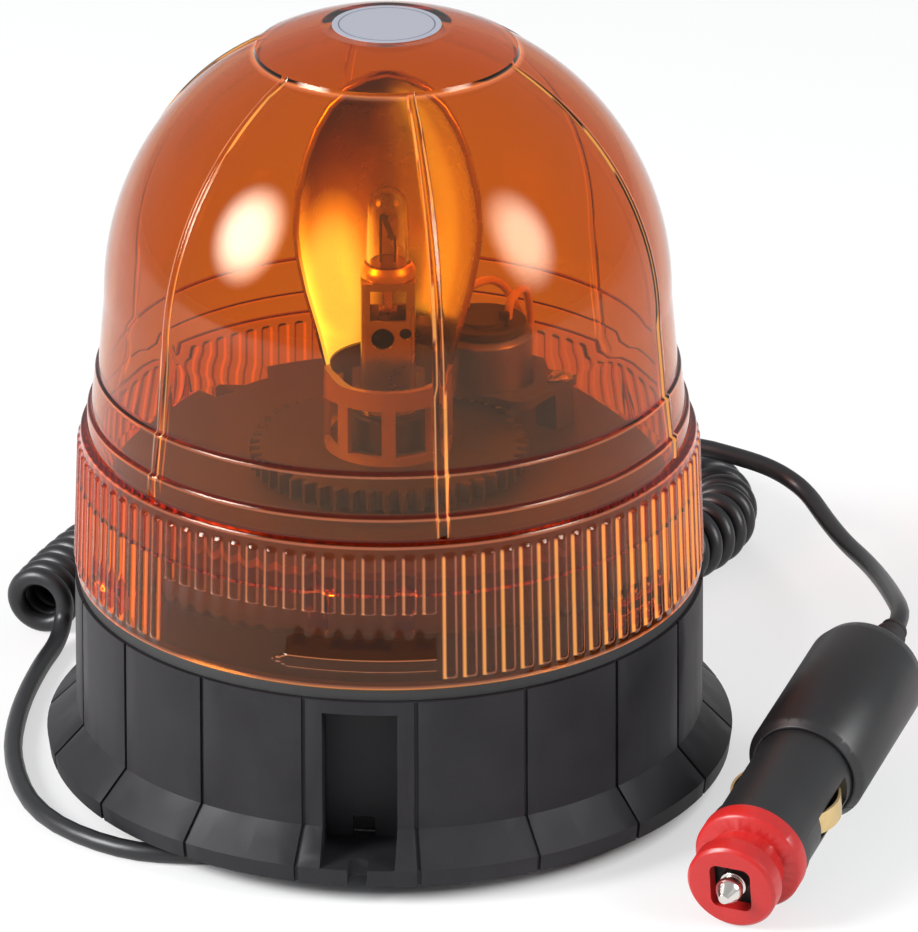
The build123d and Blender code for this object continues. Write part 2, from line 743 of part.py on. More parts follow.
def bulb_terminal():
    top = HOLDER_TOP
    blade = block(-TERMINAL_W / 2, TERMINAL_W / 2, -0.5, 0.5, top - 6.5, top)
    return blade + block(-TERMINAL_FOOT / 2, TERMINAL_FOOT / 2, -1.4, 1.4, top - 7.6, top - 6.5)


# Lens

def skirt_radius(height):
    """Outer radius of the fluted skirt at a height above the lens's lower edge."""
    return LENS_LOW_R + (RING_C_R - LENS_LOW_R) * height / RING_C_H


def dome_point(radius, offset=0.0):
    r = DOME_R + offset
    return (radius, DOME_CENTRE + math.sqrt(r * r - radius * radius))


def lens_outer(offset=0.0):
    """Stepped outer outline, from the lower edge up to the start of the dome."""
    z = LENS_Z
    return [
        (RING_C_R + offset, z + RING_C_H - LEDGE_H), (RING_C_R - LEDGE_H + offset, z + RING_C_H),
        (RING_B_R + 0.25 + offset, z + RING_C_H + LEDGE_H * 0.6), (RING_B_R + offset, z + RING_B_H - LEDGE_H),
        (RING_B_R - LEDGE_H + offset, z + RING_B_H), (RING_A_R + 0.9 + offset, z + RING_B_H + LEDGE_H * 0.6),
        (RING_A_R + offset, z + RING_A_H - LEDGE_H), (RING_A_R - LEDGE_H + offset, z + RING_A_H),
        (DOME_LOW_R + offset, z + RING_A_H + LEDGE_H), (DOME_R + offset, DOME_CENTRE),
    ]


def lens_shell():
    z = LENS_Z
    inner_r = DOME_R - LENS_WALL
    outer_pts = [(LENS_LOW_R, z)] + lens_outer()
    mid_r = 0.5 * (CAP_RING_R + DOME_R)
    cap_start = dome_point(CAP_RING_R)
    step_top = dome_point(CAP_RING_R - CAP_STEP, CAP_STEP)
    flat_z = dome_point(TOP_FLAT_R, CAP_STEP)[1]
    mid_cap = 0.5 * (CAP_RING_R + TOP_FLAT_R)
    band_low = z + INNER_BAND_LOW
    band_top = z + RING_C_H - 1.5
    edges = (
        Polyline(*outer_pts)
        + ThreePointArc(outer_pts[-1], dome_point(mid_r), cap_start)
        + Line(cap_start, step_top)
        + ThreePointArc(step_top, dome_point(mid_cap, CAP_STEP), (TOP_FLAT_R, flat_z))
        + Polyline((TOP_FLAT_R, flat_z), (0, flat_z), (0, DOME_CENTRE + inner_r))
        + ThreePointArc((0, DOME_CENTRE + inner_r),
                        (inner_r * 0.7, DOME_CENTRE + inner_r * math.sqrt(1 - 0.49)), (inner_r, DOME_CENTRE))
        + Polyline(
            (inner_r, DOME_CENTRE), (RING_A_R - LENS_WALL, z + RING_A_H - 1.5),
            (RING_B_R - LENS_WALL - 0.2, z + RING_B_H - 1.5),
            (skirt_radius(RING_C_H) - LENS_WALL - INNER_BAND_T, band_top),
            (skirt_radius(INNER_BAND_LOW) - LENS_WALL - INNER_BAND_T, band_low + 0.8),
            (skirt_radius(INNER_BAND_LOW) - LENS_WALL, band_low),
            (LENS_LOW_R - LENS_WALL, z), (LENS_LOW_R, z),
        )
    )
    return revolve(make_face(Plane.XZ * edges), Axis.Z)


def flute(low, high):
    """One upright half-round rib of the skirt, as a three-sided prism on +X."""
    width = 2 * math.pi * LENS_LOW_R / FLUTES * 0.62
    def section(height):
        r = skirt_radius(height)
        return Plane(origin=(0, 0, LENS_Z + height)) * Polygon(
            (r - 0.4, -width / 2), (r + FLUTE_H, -0.3), (r + FLUTE_H, 0.3), (r - 0.4, width / 2), align=None)
    return loft([section(low), section(high)])


def dome_rib():
    """Low rib from the cap ring down to the middle step, on +X."""
    deep = -0.5 * LENS_WALL
    top_r = CAP_RING_R - CAP_STEP - 0.3
    mid_r = 0.5 * (CAP_RING_R + DOME_R)
    steps = lens_outer(RIB_H)[4:]
    start = dome_point(top_r, RIB_H)
    inner_top = dome_point(top_r, deep)
    inner_low = (DOME_R + deep, DOME_CENTRE)
    edges = (
        Polyline(*steps)
        + ThreePointArc(steps[-1], dome_point(mid_r, RIB_H), start)
        + Line(start, inner_top)
        + ThreePointArc(inner_top, dome_point(mid_r, deep), inner_low)
        + Polyline(inner_low, (RING_A_R - 1, steps[0][1]), steps[0])
    )
    return extrude(make_face(Plane.XZ * edges), RIB_W / 2, both=True)


def flute_angles(windowed):
    pitch = 360 / FLUTES
    angles = [WINDOW_TO + (k + 0.5) * pitch for k in range(FLUTES)]
    span = WINDOW_TO - WINDOW_FROM
    return [a for a in angles if ((a - WINDOW_FROM) % 360 < span) == windowed]


def lens():
    shell = lens_shell()
    tall = flute(FLUTE_LOW, FLUTE_TOP)
    short = flute(SHORT_FLUTE_LOW, FLUTE_TOP)
    flutes = [bearing(a) * tall for a in flute_angles(False)]
    flutes += [bearing(a) * short for a in flute_angles(True)]
    shell = shell + flutes
    shell = shell + [bearing(RIB_FIRST + k * 360 / RIBS) * dome_rib() for k in range(RIBS)]
    lug_top = BASE_TOP + SPIGOT_H - LUG_T - SLIP
    for angle in boss_angles():
        shell += sector(LENS_LOW_R - LENS_WALL + 0.5, LENS_LUG_R, lug_top - LUG_T, lug_top, angle, LUG_ARC)
    guide_r = skirt_radius(INNER_BAND_LOW) - LENS_WALL
    for angle in pocket_angles():
        for side in (-1, 1):
            shell += sector(guide_r + 0.6, guide_r - INNER_BAND_T, LENS_Z + INNER_BAND_LOW - GUIDE_DROP,
                            LENS_Z + INNER_BAND_LOW + 1, angle + side * GUIDE_GAP / 2, GUIDE_W)
    shell += pointer()
    return shell


POINTER_TIP = -21.7
POINTER_FROM = -18.4
POINTER_TO = 8.3
POINTER_Z = 3.6
POINTER_H = 2.4
POINTER_T = 0.5


def pointer():
    """Moulded arrow on the skirt that shows which way the lens comes off."""
    r = skirt_radius(POINTER_Z + POINTER_H / 2)
    low = LENS_Z + POINTER_Z
    middle = (POINTER_FROM + POINTER_TO) / 2
    bar = sector(r + POINTER_T, r - 0.5, low, low + POINTER_H, middle, POINTER_TO - POINTER_FROM)
    half = POINTER_H / 2
    reach = (POINTER_FROM - POINTER_TIP) * math.pi / 180 * r
    head = Plane(origin=(r - 0.6, 0, low + half), x_dir=(0, 1, 0), z_dir=(1, 0, 0)) * Polygon(
        (0.2, -half), (0.2, half), (-reach, 0), align=None)
    return bar + bearing(POINTER_FROM) * extrude(head, POINTER_T + 0.6)


def lens_label():
    flat_z = dome_point(TOP_FLAT_R, CAP_STEP)[1]
    return disc(LABEL_R, flat_z, flat_z + LABEL_T)


# Cord

BASE_LEAD = [
    (-64.3, 50.7, 6.2), (-65.9, 45.2, 4.6), (-68.2, 35.5, 1.8), (-71.5, 16.0, 1.8), (-72.0, -6.0, 1.8),
    (-66.0, -30.0, 1.8), (-50.0, -44.5, 1.8), (-35.5, -46.5, 1.8), (-25.5, -43.0, 1.8),
    (*GROMMET_AT, 2.8), (*GROMMET_AT, PLATE_Z - GROMMET_LIP),
]
COIL_ROUTE = [
    (-69.1, 52.8, 7.2), (-64.5, 67.5, 7.2), (-51.5, 90.0, 7.2), (-31.0, 113.0, 7.2), (1.0, 128.5, 7.2),
    (36.0, 130.0, 7.2), (60.5, 118.0, 7.2), (69.5, 98.5, 7.2), (63.5, 81.5, 7.2), (51.0, 70.0, 7.2),
]
PLUG_LEAD = [
    (50.9, 69.9, 12.4), (45.1, 64.6, 12.2), (34.2, 63.3, 10.0), (24.5, 68.5, 7.0), (19.5, 78.3, 5.0),
    (21.2, 90.2, 5.5), (30.2, 100.9, 9.0), (45.5, 104.5, 15.5), (60.5, 102.0, 20.3), (71.0, 99.5, 18.8),
    (78.5, 100.0, 12.5), (83.5, 98.5, 6.8), (87.5, 95.0, 2.4), (90.6, 86.0, 1.8), (93.4, 74.0, 1.8),
    (93.7, 60.0, 4.8), (93.4, 45.0, 12.0), (94.0, 30.0, 19.5), (95.8, 17.0, 24.2),
]


def plug_place():
    rise = math.radians(PLUG_RISE)
    turn = math.radians(PLUG_HEADING)
    back = (math.sin(turn) * math.cos(rise), math.cos(turn) * math.cos(rise), math.sin(rise))
    return Plane(origin=PLUG_AT, x_dir=(math.cos(turn), -math.sin(turn), 0), z_dir=back)


def plug_lead_route():
    end = plug_place().from_local_coords(Vector(0, 0, BODY_END + RELIEF_L))
    before = plug_place().from_local_coords(Vector(0, 0, BODY_END + RELIEF_L + 5))
    return PLUG_LEAD + [tuple(before), tuple(end)]


def cord_tube(points, diameter, name):
    path = FilletPolyline(*points, radius=bend_radii(points))
    solid = sweep_round(path, points, diameter / 2)
    expected = math.pi * diameter ** 2 / 4 * path.length
    print(f"{name}: length {path.length:.0f}, radii {[round(r, 1) for r in bend_radii(points)]}, "
          f"volume {solid.volume:.0f} of {expected:.0f}")
    return solid


# Plug, built along Z and then laid in its place

def plug_adapter():
    neck_low = ADAPTER_FLANGE + 0.9
    flange_low = ADAPTER_L - ADAPTER_FLANGE
    body = turned(
        (0, 0), (ADAPTER_FACE_R - 0.6, 0), (ADAPTER_FACE_R, 0.6), (ADAPTER_FACE_R, neck_low - 1),
        (ADAPTER_NECK_R, neck_low), (ADAPTER_NECK_R, flange_low - 0.6), (ADAPTER_R - 0.5, flange_low),
        (ADAPTER_R, flange_low + 0.6), (ADAPTER_R, ADAPTER_L - 0.4), (ADAPTER_R - 0.4, ADAPTER_L), (0, ADAPTER_L),
    )
    body -= extrude(RectangleRounded(ADAPTER_OPENING, ADAPTER_OPENING + 1.2, 1.6), 3)
    body -= disc(PIN_R + GLIDE, 2.6, ADAPTER_L + 1)
    for side in (-1, 1):
        body -= Rot(0, 0, side * 14) * block(-0.9, 0.9, ADAPTER_NECK_R - 1.2, ADAPTER_R + 1, neck_low, flange_low + 1.8)
    return body


def plug_nose():
    start = ADAPTER_L + GLIDE
    nose = turned(
        (TIP_R + GLIDE, 3.4), (PIN_R - 0.4, 3.4), (PIN_R, 3.8), (PIN_R, start), (NOSE_RING_R, start),
        (NOSE_RING_R, start + NOSE_RING_T), (NOSE_R, start + NOSE_RING_T), (NOSE_R, start + NOSE_L),
        (BODY_R - BODY_WALL - GLIDE, start + NOSE_L), (BODY_R - BODY_WALL - GLIDE, start + NOSE_L + 6),
        (FUSE_R + SLIP, start + NOSE_L + 6), (FUSE_R + SLIP, start + 6), (TIP_R + GLIDE, start + 6),
    )
    for side in (-1, 1):
        x0, x1 = sorted((side * (CONTACT_SEAT_R - CONTACT_T - CONTACT_TRAVEL - 0.2), side * (NOSE_R + 2)))
        nose -= block(x0, x1, -CONTACT_W / 2 - 0.4, CONTACT_W / 2 + 0.4, contact_start() - 0.3,
                      contact_start() + CONTACT_L + 0.3)
        x0, x1 = sorted((side * (CONTACT_SEAT_R - CONTACT_T - CONTACT_TRAVEL - 0.2), side * CONTACT_SEAT_R))
        nose -= block(x0, x1, -CONTACT_W / 2 - 0.4, CONTACT_W / 2 + 0.4, contact_start() - CONTACT_TAB - 0.3,
                      contact_start() + CONTACT_L + CONTACT_TAB + 0.3)
    rib = block(-0.8, 0.8, NOSE_R - 1, NOSE_R + 1.3, start + 10, start + NOSE_L)
    rib += Pos(0, NOSE_R + 0.6, start + 10) * Rot(90, 0, 0) * Cylinder(1.1, 2.4)
    return nose + Rot(0, 0, 62) * rib


def contact_start():
    return ADAPTER_L + 9.5


def plug_contact(side):
    """Bowed brass leaf that stands a little out of its slot, its tabs under the slot's ends."""
    z0 = contact_start()
    z1 = z0 + CONTACT_L
    top = NOSE_R + CONTACT_OUT
    low = CONTACT_SEAT_R
    outer = ThreePointArc((low, z0), (top, (z0 + z1) / 2), (low, z1))
    inner = ThreePointArc((low - CONTACT_T, z1), (top - CONTACT_T, (z0 + z1) / 2), (low - CONTACT_T, z0))
    edges = outer + Line(outer @ 1, inner @ 0) + inner + Line(inner @ 1, outer @ 0)
    leaf = extrude(make_face(Plane.XZ * edges), CONTACT_W / 2, both=True)
    half = CONTACT_W / 2
    leaf += block(low - CONTACT_T, low, -half, half, z0 - CONTACT_TAB, z0 + 0.4)
    leaf += block(low - CONTACT_T, low, -half, half, z1 - 0.4, z1 + CONTACT_TAB)
    return leaf if side > 0 else Rot(0, 0, 180) * leaf


def plug_tip():
    neck = TIP_R - 0.5
    return turned(
        (0, -TIP_OUT), (0.9, -TIP_OUT), (TIP_R, -TIP_OUT + 2.6), (TIP_R, -TIP_OUT + 3.4),
        (neck, -TIP_OUT + 3.6), (neck, -TIP_OUT + 4.6), (TIP_R, -TIP_OUT + 4.8),
        (TIP_R, TIP_L - TIP_OUT), (0, TIP_L - TIP_OUT),
    )


def plug_spring():
    """Coil spring between the tip and the fuse, drawn pressed, as close rings."""
    low = TIP_L - TIP_OUT + GLIDE
    high = ADAPTER_L + 6
    turns = 6
    pitch = (high - low) / turns
    outer = [(TIP_R - 0.1 - 0.45 * (k % 2), low + k * pitch / 2) for k in range(2 * turns + 1)]
    return turned(*outer, (TIP_R - 1.1, high), (TIP_R - 1.1, low))


def plug_fuse():
    low = ADAPTER_L + 6 + TIP_TRAVEL + 0.4
    return turned(
        (0, low), (FUSE_R, low), (FUSE_R, low + 5), (FUSE_R - 0.4, low + 5.2),
        (FUSE_R - 0.4, low + FUSE_L - 5.2), (FUSE_R, low + FUSE_L - 5), (FUSE_R, low + FUSE_L), (0, low + FUSE_L),
    )


SEAM_ANGLE = 38.0
SEAM_GAP = 0.04


def body_start():
    return ADAPTER_L + GLIDE + NOSE_L + GLIDE


def plug_body():
    start = body_start()
    inner = BODY_R - BODY_WALL
    end = BODY_END
    solid = turned(
        (inner, start), (BODY_R - BODY_CHAMFER + 0.5, start), (BODY_R, start + BODY_CHAMFER), (BODY_R, end - 5.0),
        (BODY_R - 0.8, end - 2.4), (BODY_R - 2.4, end - 0.7), (BODY_R - 4.6, end), (CORD_D / 2 + GLIDE, end),
        (CORD_D / 2 + GLIDE, end - BODY_WALL - 1), (inner - 1.5, end - BODY_WALL - 1), (inner, end - 7),
    )
    for k in range(GRIP_RIBS):
        z = end - 6.0 - k * 1.7
        groove = tube(BODY_R + 1, BODY_R - 0.5, z - 0.45, z + 0.45)
        solid -= groove & (Rot(0, 0, 128) * block(2, 2 * BODY_R, -GRIP_W / 2, GRIP_W / 2, 0, BODY_END))
    return solid


def plug_half(side):
    reach = 2 * BODY_R
    cut = block(-reach, reach, 0, reach, 0, BODY_END + 1)
    if side < 0:
        cut = block(-reach, reach, -reach, -SEAM_GAP, 0, BODY_END + 1)
    return plug_body() & (Rot(0, 0, SEAM_ANGLE) * cut)


def plug_relief():
    outline = [(0, BODY_END + GLIDE), (RELIEF_R, BODY_END + GLIDE)]
    step = (RELIEF_L - 1) / RELIEF_RIBS
    for k in range(RELIEF_RIBS):
        z = BODY_END + GLIDE + k * step
        r = RELIEF_R + (RELIEF_END_R - RELIEF_R) * k / RELIEF_RIBS
        outline += [(r, z + step * 0.6), (r - 0.6, z + step * 0.65), (r - 0.6, z + step)]
    outline += [(RELIEF_END_R, BODY_END + RELIEF_L - 0.8), (RELIEF_END_R, BODY_END + RELIEF_L), (0, BODY_END + RELIEF_L)]
    return turned(*outline)


def build():
    """Every piece by its name."""
    lay = plug_place().location
    pieces = {
        "base_housing": base_housing(),
        "lens_gasket": lens_gasket(),
        "bottom_plate": bottom_plate(),
        "bottom_screws": bottom_screws(),
        "magnet_pot": magnet_pot(),
        "ring_magnet": ring_magnet(),
        "magnet_pad": magnet_pad(),
        "magnet_bolt": magnet_bolt(),
        "magnet_nut": magnet_nut(),
        "cable_grommet": cable_grommet(),
        "terminal_block": terminal_block(),
        "inner_wires": inner_wires(),
        "chassis_deck": chassis_deck(),
        "deck_screws": deck_screws(),
        "bearing_post": bearing_post(),
        "retaining_ring": retaining_ring(),
        "hub_bush": hub_bush(),
        "rotor_hub": rotor_hub(),
        "reflector_drum": reflector_drum(),
        "reflector": reflector(),
        "motor_bracket": motor_bracket(),
        "motor_screws": motor_screws(),
        "motor_can": motor_can(),
        "motor_cap": motor_cap(),
        "motor_pinion": motor_pinion(),
        "motor_leads": motor_leads(),
        "bulb_holder": bulb_holder(),
        "bulb_flange": bulb_flange(),
        "bulb_glass": bulb_glass(),
        "bulb_filament": bulb_filament(),
        "bulb_terminal": bulb_terminal(),
        "lens": lens(),
        "lens_label": lens_label(),
        "base_lead": cord_tube(BASE_LEAD, CORD_D, "base lead"),
        "curly_cord": cord_tube(COIL_ROUTE, COIL_D, "curly cord"),
        "plug_lead": cord_tube(plug_lead_route(), CORD_D, "plug lead"),
        "plug_adapter": lay * plug_adapter(),
        "plug_nose": lay * plug_nose(),
        "plug_contact_right": lay * plug_contact(1),
        "plug_contact_left": lay * plug_contact(-1),
        "plug_tip": lay * plug_tip(),
        "plug_spring": lay * plug_spring(),
        "plug_fuse": lay * plug_fuse(),
        "plug_shell_upper": lay * plug_half(1),
        "plug_shell_lower": lay * plug_half(-1),
        "strain_relief": lay * plug_relief(),
    }
    return pieces


for node, shape in build().items():
    write(node, shape)
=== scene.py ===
import math

import bmesh
import bpy
from mathutils import Matrix, Vector


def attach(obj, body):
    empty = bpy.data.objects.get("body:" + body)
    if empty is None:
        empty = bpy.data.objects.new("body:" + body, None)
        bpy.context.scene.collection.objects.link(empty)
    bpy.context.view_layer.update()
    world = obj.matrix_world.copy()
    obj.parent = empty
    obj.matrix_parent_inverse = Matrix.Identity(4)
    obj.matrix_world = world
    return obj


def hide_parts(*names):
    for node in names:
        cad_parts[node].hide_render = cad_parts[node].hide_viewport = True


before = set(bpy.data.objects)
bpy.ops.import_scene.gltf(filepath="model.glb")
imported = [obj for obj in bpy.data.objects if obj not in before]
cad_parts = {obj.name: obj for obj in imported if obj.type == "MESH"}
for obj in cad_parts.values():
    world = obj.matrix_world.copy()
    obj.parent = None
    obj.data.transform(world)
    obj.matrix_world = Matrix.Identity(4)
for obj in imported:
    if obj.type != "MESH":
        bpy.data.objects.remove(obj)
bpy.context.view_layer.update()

scene = bpy.context.scene
scene.view_settings.view_transform = "Standard"
mm = 0.001


# Camera
# It stands 1.15 m in front of the beacon and looks down on it at about 24 degrees through a
# long lens, as the photograph was taken.
camera_data = bpy.data.cameras.new("camera")
camera_data.sensor_width = 36.0
camera_data.lens = 259.57
camera = bpy.data.objects.new("camera", camera_data)
camera.location = (0.0, -1.1510, 0.5617)
camera.rotation_euler = (math.pi / 2 - 0.4114, 0.0, -0.0114)
scene.collection.objects.link(camera)
scene.camera = camera


# Table and room
# The beacon stands on a plain white sweep. Sweep and room show as white to the eye and weaker
# in reflections, and light the beacon softly. The sweep is dark right under the beacon.
def new_material(name):
    """A node material and its nodes, links, shader and output."""
    material = bpy.data.materials.new(name)
    material.use_nodes = True
    nodes, links = material.node_tree.nodes, material.node_tree.links
    nodes.clear()
    out = nodes.new("ShaderNodeOutputMaterial")
    shader = nodes.new("ShaderNodeBsdfPrincipled")
    links.new(shader.outputs["BSDF"], out.inputs["Surface"])
    return material, nodes, links, shader, out


def mesh_object(name, bm, material, smooth_angle=None):
    """Turns a bmesh into an object at the origin and gives it its material."""
    mesh = bpy.data.meshes.new(name)
    bm.to_mesh(mesh)
    bm.free()
    if smooth_angle is not None:
        mesh.shade_smooth()
        mesh.set_sharp_from_angle(angle=math.radians(smooth_angle))
    obj = bpy.data.objects.new(name, mesh)
    scene.collection.objects.link(obj)
    obj.data.materials.append(material)
    return obj


sweep_material, nodes, links, sweep_shader, sweep_out = new_material("white_sweep")
sweep_shader.inputs["Base Color"].default_value = (0.86, 0.86, 0.86, 1)
sweep_shader.inputs["Roughness"].default_value = 0.9
sweep_shader.inputs["Specular IOR Level"].default_value = 0.0
path = nodes.new("ShaderNodeLightPath")
seen = nodes.new("ShaderNodeMath")
seen.operation = "MULTIPLY_ADD"
seen.inputs[1].default_value = 0.6
links.new(path.outputs["Is Camera Ray"], seen.inputs[0])
seen_through = nodes.new("ShaderNodeMath")
seen_through.operation = "MULTIPLY_ADD"
seen_through.inputs[1].default_value = 0.45
links.new(path.outputs["Is Glossy Ray"], seen_through.inputs[0])
links.new(path.outputs["Is Transmission Ray"], seen_through.inputs[2])
links.new(seen_through.outputs[0], seen.inputs[2])
sweep_glow = nodes.new("ShaderNodeEmission")
sweep_glow.inputs["Color"].default_value = (1, 1, 1, 1)
floor_place = nodes.new("ShaderNodeTexCoord")
floor_reach = nodes.new("ShaderNodeVectorMath")
floor_reach.operation = "LENGTH"
links.new(floor_place.outputs["Object"], floor_reach.inputs[0])
under = nodes.new("ShaderNodeMapRange")
under.inputs["From Min"].default_value = 0.058
under.inputs["From Max"].default_value = 0.063
links.new(floor_reach.outputs["Value"], under.inputs["Value"])
open_floor = nodes.new("ShaderNodeMath")
open_floor.operation = "MULTIPLY"
links.new(seen.outputs[0], open_floor.inputs[0])
links.new(under.outputs["Result"], open_floor.inputs[1])
sweep_mix = nodes.new("ShaderNodeMixShader")
links.new(open_floor.outputs[0], sweep_mix.inputs[0])
links.new(sweep_shader.outputs[0], sweep_mix.inputs[1])
links.new(sweep_glow.outputs[0], sweep_mix.inputs[2])
links.new(sweep_mix.outputs[0], sweep_out.inputs["Surface"])

bm = bmesh.new()
bmesh.ops.create_grid(bm, x_segments=1, y_segments=1, size=6.0)
floor = mesh_object("floor", bm, sweep_material)

world = bpy.data.worlds.new("room")
scene.world = world
world.use_nodes = True
nodes, links = world.node_tree.nodes, world.node_tree.links
nodes.clear()
world_out = nodes.new("ShaderNodeOutputWorld")
room_light = nodes.new("ShaderNodeBackground")
room_light.inputs["Color"].default_value = (0.93, 0.96, 1.0, 1)
room_light.inputs["Strength"].default_value = 0.42
room_seen = nodes.new("ShaderNodeBackground")
room_seen.inputs["Color"].default_value = (1, 1, 1, 1)
room_seen.inputs["Strength"].default_value = 1.0
path = nodes.new("ShaderNodeLightPath")
seen_camera = nodes.new("ShaderNodeMath")
seen_camera.operation = "MULTIPLY_ADD"
seen_camera.inputs[1].default_value = 0.2
links.new(path.outputs["Is Glossy Ray"], seen_camera.inputs[0])
links.new(path.outputs["Is Camera Ray"], seen_camera.inputs[2])
seen_any = nodes.new("ShaderNodeMath")
seen_any.operation = "MAXIMUM"
links.new(seen_camera.outputs[0], seen_any.inputs[0])
links.new(path.outputs["Is Transmission Ray"], seen_any.inputs[1])
room_mix = nodes.new("ShaderNodeMixShader")
links.new(seen_any.outputs[0], room_mix.inputs[0])
links.new(room_light.outputs[0], room_mix.inputs[1])
links.new(room_seen.outputs[0], room_mix.inputs[2])
links.new(room_mix.outputs[0], world_out.inputs["Surface"])


def softbox(name, toward, distance, width, height, power):
    """A studio light that fades to its edge, seen from the dome in the given direction."""
    light = bpy.data.lights.new(name, "AREA")
    light.shape = "ELLIPSE"
    light.size = width
    light.size_y = height
    light.energy = power
    light.use_nodes = True
    nodes, links = light.node_tree.nodes, light.node_tree.links
    where = nodes.new("ShaderNodeNewGeometry")
    centred = nodes.new("ShaderNodeVectorMath")
    centred.operation = "DISTANCE"
    centred.inputs[1].default_value = (0.5, 0.5, 0)
    fade = nodes.new("ShaderNodeMapRange")
    fade.interpolation_type = "SMOOTHSTEP"
    fade.inputs["From Min"].default_value = 0.5
    fade.inputs["From Max"].default_value = 0.12
    fade.inputs["To Max"].default_value = 2.2
    links.new(where.outputs["Parametric"], centred.inputs[0])
    links.new(centred.outputs["Value"], fade.inputs["Value"])
    links.new(fade.outputs["Result"], nodes["Emission"].inputs["Strength"])
    lamp = bpy.data.objects.new(name, light)
    aim = Vector((0, 0, 0.09))
    direction = Vector(toward).normalized()
    lamp.location = aim + direction * distance
    lamp.rotation_euler = (-direction).to_track_quat("-Z", "Y").to_euler()
    scene.collection.objects.link(lamp)
    return lamp


softbox("left_softbox", (-0.845, -0.33, 0.49), 1.3, 0.82, 0.95, 29)
softbox("right_softbox", (0.85, -0.40, 0.50), 1.3, 0.72, 1.0, 13)


# Lead
# One round black PVC cord of 3.6 mm runs from the grommet under the base to the plug. Its middle
# is wound into a spring of touching turns about a curved core line; both ends are left straight.
CORD_D = 3.6
COIL_R = 5.4
BASE_LEAD = [
    (-22.0, -38.0, 9.2), (-22.0, -38.0, 2.8), (-25.5, -43.0, 1.85), (-35.5, -46.5, 1.85),
    (-50.0, -44.5, 1.85), (-66.0, -30.0, 1.85), (-72.0, -6.0, 1.85), (-71.5, 16.0, 1.85),
    (-68.2, 35.5, 1.85), (-65.6, 44.6, 1.9), (-64.6, 48.9, 3.3),
]
COIL_ROUTE = [
    (-69.1, 52.8, 7.25), (-64.5, 67.5, 7.25), (-51.5, 90.0, 7.25), (-31.0, 113.0, 7.25), (1.0, 128.5, 7.25),
    (36.0, 130.0, 7.25), (60.5, 118.0, 7.25), (69.5, 98.5, 7.25), (63.5, 81.5, 7.25), (51.0, 70.0, 7.25),
]
PLUG_LEAD = [
    (48.6, 72.6, 1.85), (42.0, 75.6, 1.85), (33.5, 77.0, 1.85), (26.0, 79.5, 1.85), (21.8, 84.8, 2.2),
    (20.9, 91.2, 3.2), (24.0, 97.6, 5.6), (30.2, 100.9, 9.0), (45.5, 104.5, 15.5),
    (60.5, 101.0, 20.3), (69.9, 97.0, 19.2), (76.1, 95.8, 17.6), (80.8, 94.2, 15.6),
    (84.7, 90.1, 13.8), (87.6, 80.1, 12.6), (90.9, 68.6, 12.4), (94.2, 57.1, 13.6),
    (96.3, 42.7, 16.2), (97.2, 25.0, 20.6),
]
PLUG_AT = Vector((61.1, -73.9, 8.52))
PLUG_TURN = math.radians(24.0)
PLUG_RISE = math.radians(10.0)
PLUG_BACK = Vector((math.sin(PLUG_TURN) * math.cos(PLUG_RISE), math.cos(PLUG_TURN) * math.cos(PLUG_RISE),
                    math.sin(PLUG_RISE)))
RELIEF_END = 86.46


def smooth_route(points):
    """A curve whose single smooth spline has these points, in millimetres, as its controls."""
    curve = bpy.data.curves.new("route", "CURVE")
    curve.dimensions = "3D"
    curve.resolution_u = 12
    spline = curve.splines.new("NURBS")
    spline.points.add(len(points) - 1)
    for control, p in zip(spline.points, points):
        control.co = (p[0] * mm, p[1] * mm, p[2] * mm, 1)
    spline.order_u = 3
    spline.use_endpoint_u = True
    return curve


def line_of(points):
    """Points along the smooth route, read from the curve itself, in millimetres."""
    probe = bpy.data.objects.new("probe", smooth_route(points))
    mesh = bpy.data.meshes.new_from_object(probe)
    line = [v.co / mm for v in mesh.vertices]
    bpy.data.objects.remove(probe)
    return line


def wound(core, radius, wire, points_a_turn, start):
    """Control points of a cord wound about a core line, its turns touching on the inner side."""
    lengths = [0.0]
    for a, b in zip(core, core[1:]):
        lengths.append(lengths[-1] + (b - a).length)
    turn = math.radians(start)
    step = 2 * math.pi / points_a_turn
    grow = radius / math.cos(step / 2)
    points, s, k = [], 0.0, 0
    while s < lengths[-1] - 0.5 * wire:
        while lengths[k + 1] < s:
            k += 1
        f = (s - lengths[k]) / (lengths[k + 1] - lengths[k])
        here = core[k].lerp(core[k + 1], f)
        along = (core[min(k + 2, len(core) - 1)] - core[max(k - 1, 0)]).normalized()
        side = along.cross(Vector((0, 0, 1))).normalized()
        up = side.cross(along)
        before, after = core[max(k - 4, 0)], core[min(k + 5, len(core) - 1)]
        bend = (after - core[k]).normalized().cross((core[k] - before).normalized()).length
        curving = bend / max((after - before).length / 2, 0.001)
        pitch = 1.02 * wire / (1 - min(curving * radius, 0.5))
        points.append(here + grow * (math.cos(turn) * side + math.sin(turn) * up))
        turn += step
        s += pitch / points_a_turn
    return points


core_line = line_of(COIL_ROUTE)
turns = wound(core_line, COIL_R, CORD_D, 12, -20)
plug_end = PLUG_AT + PLUG_BACK * RELIEF_END
plug_before = PLUG_AT + PLUG_BACK * (RELIEF_END + 5)
route = [Vector(p) for p in BASE_LEAD] + turns + [Vector(p) for p in PLUG_LEAD] + [plug_before, plug_end]

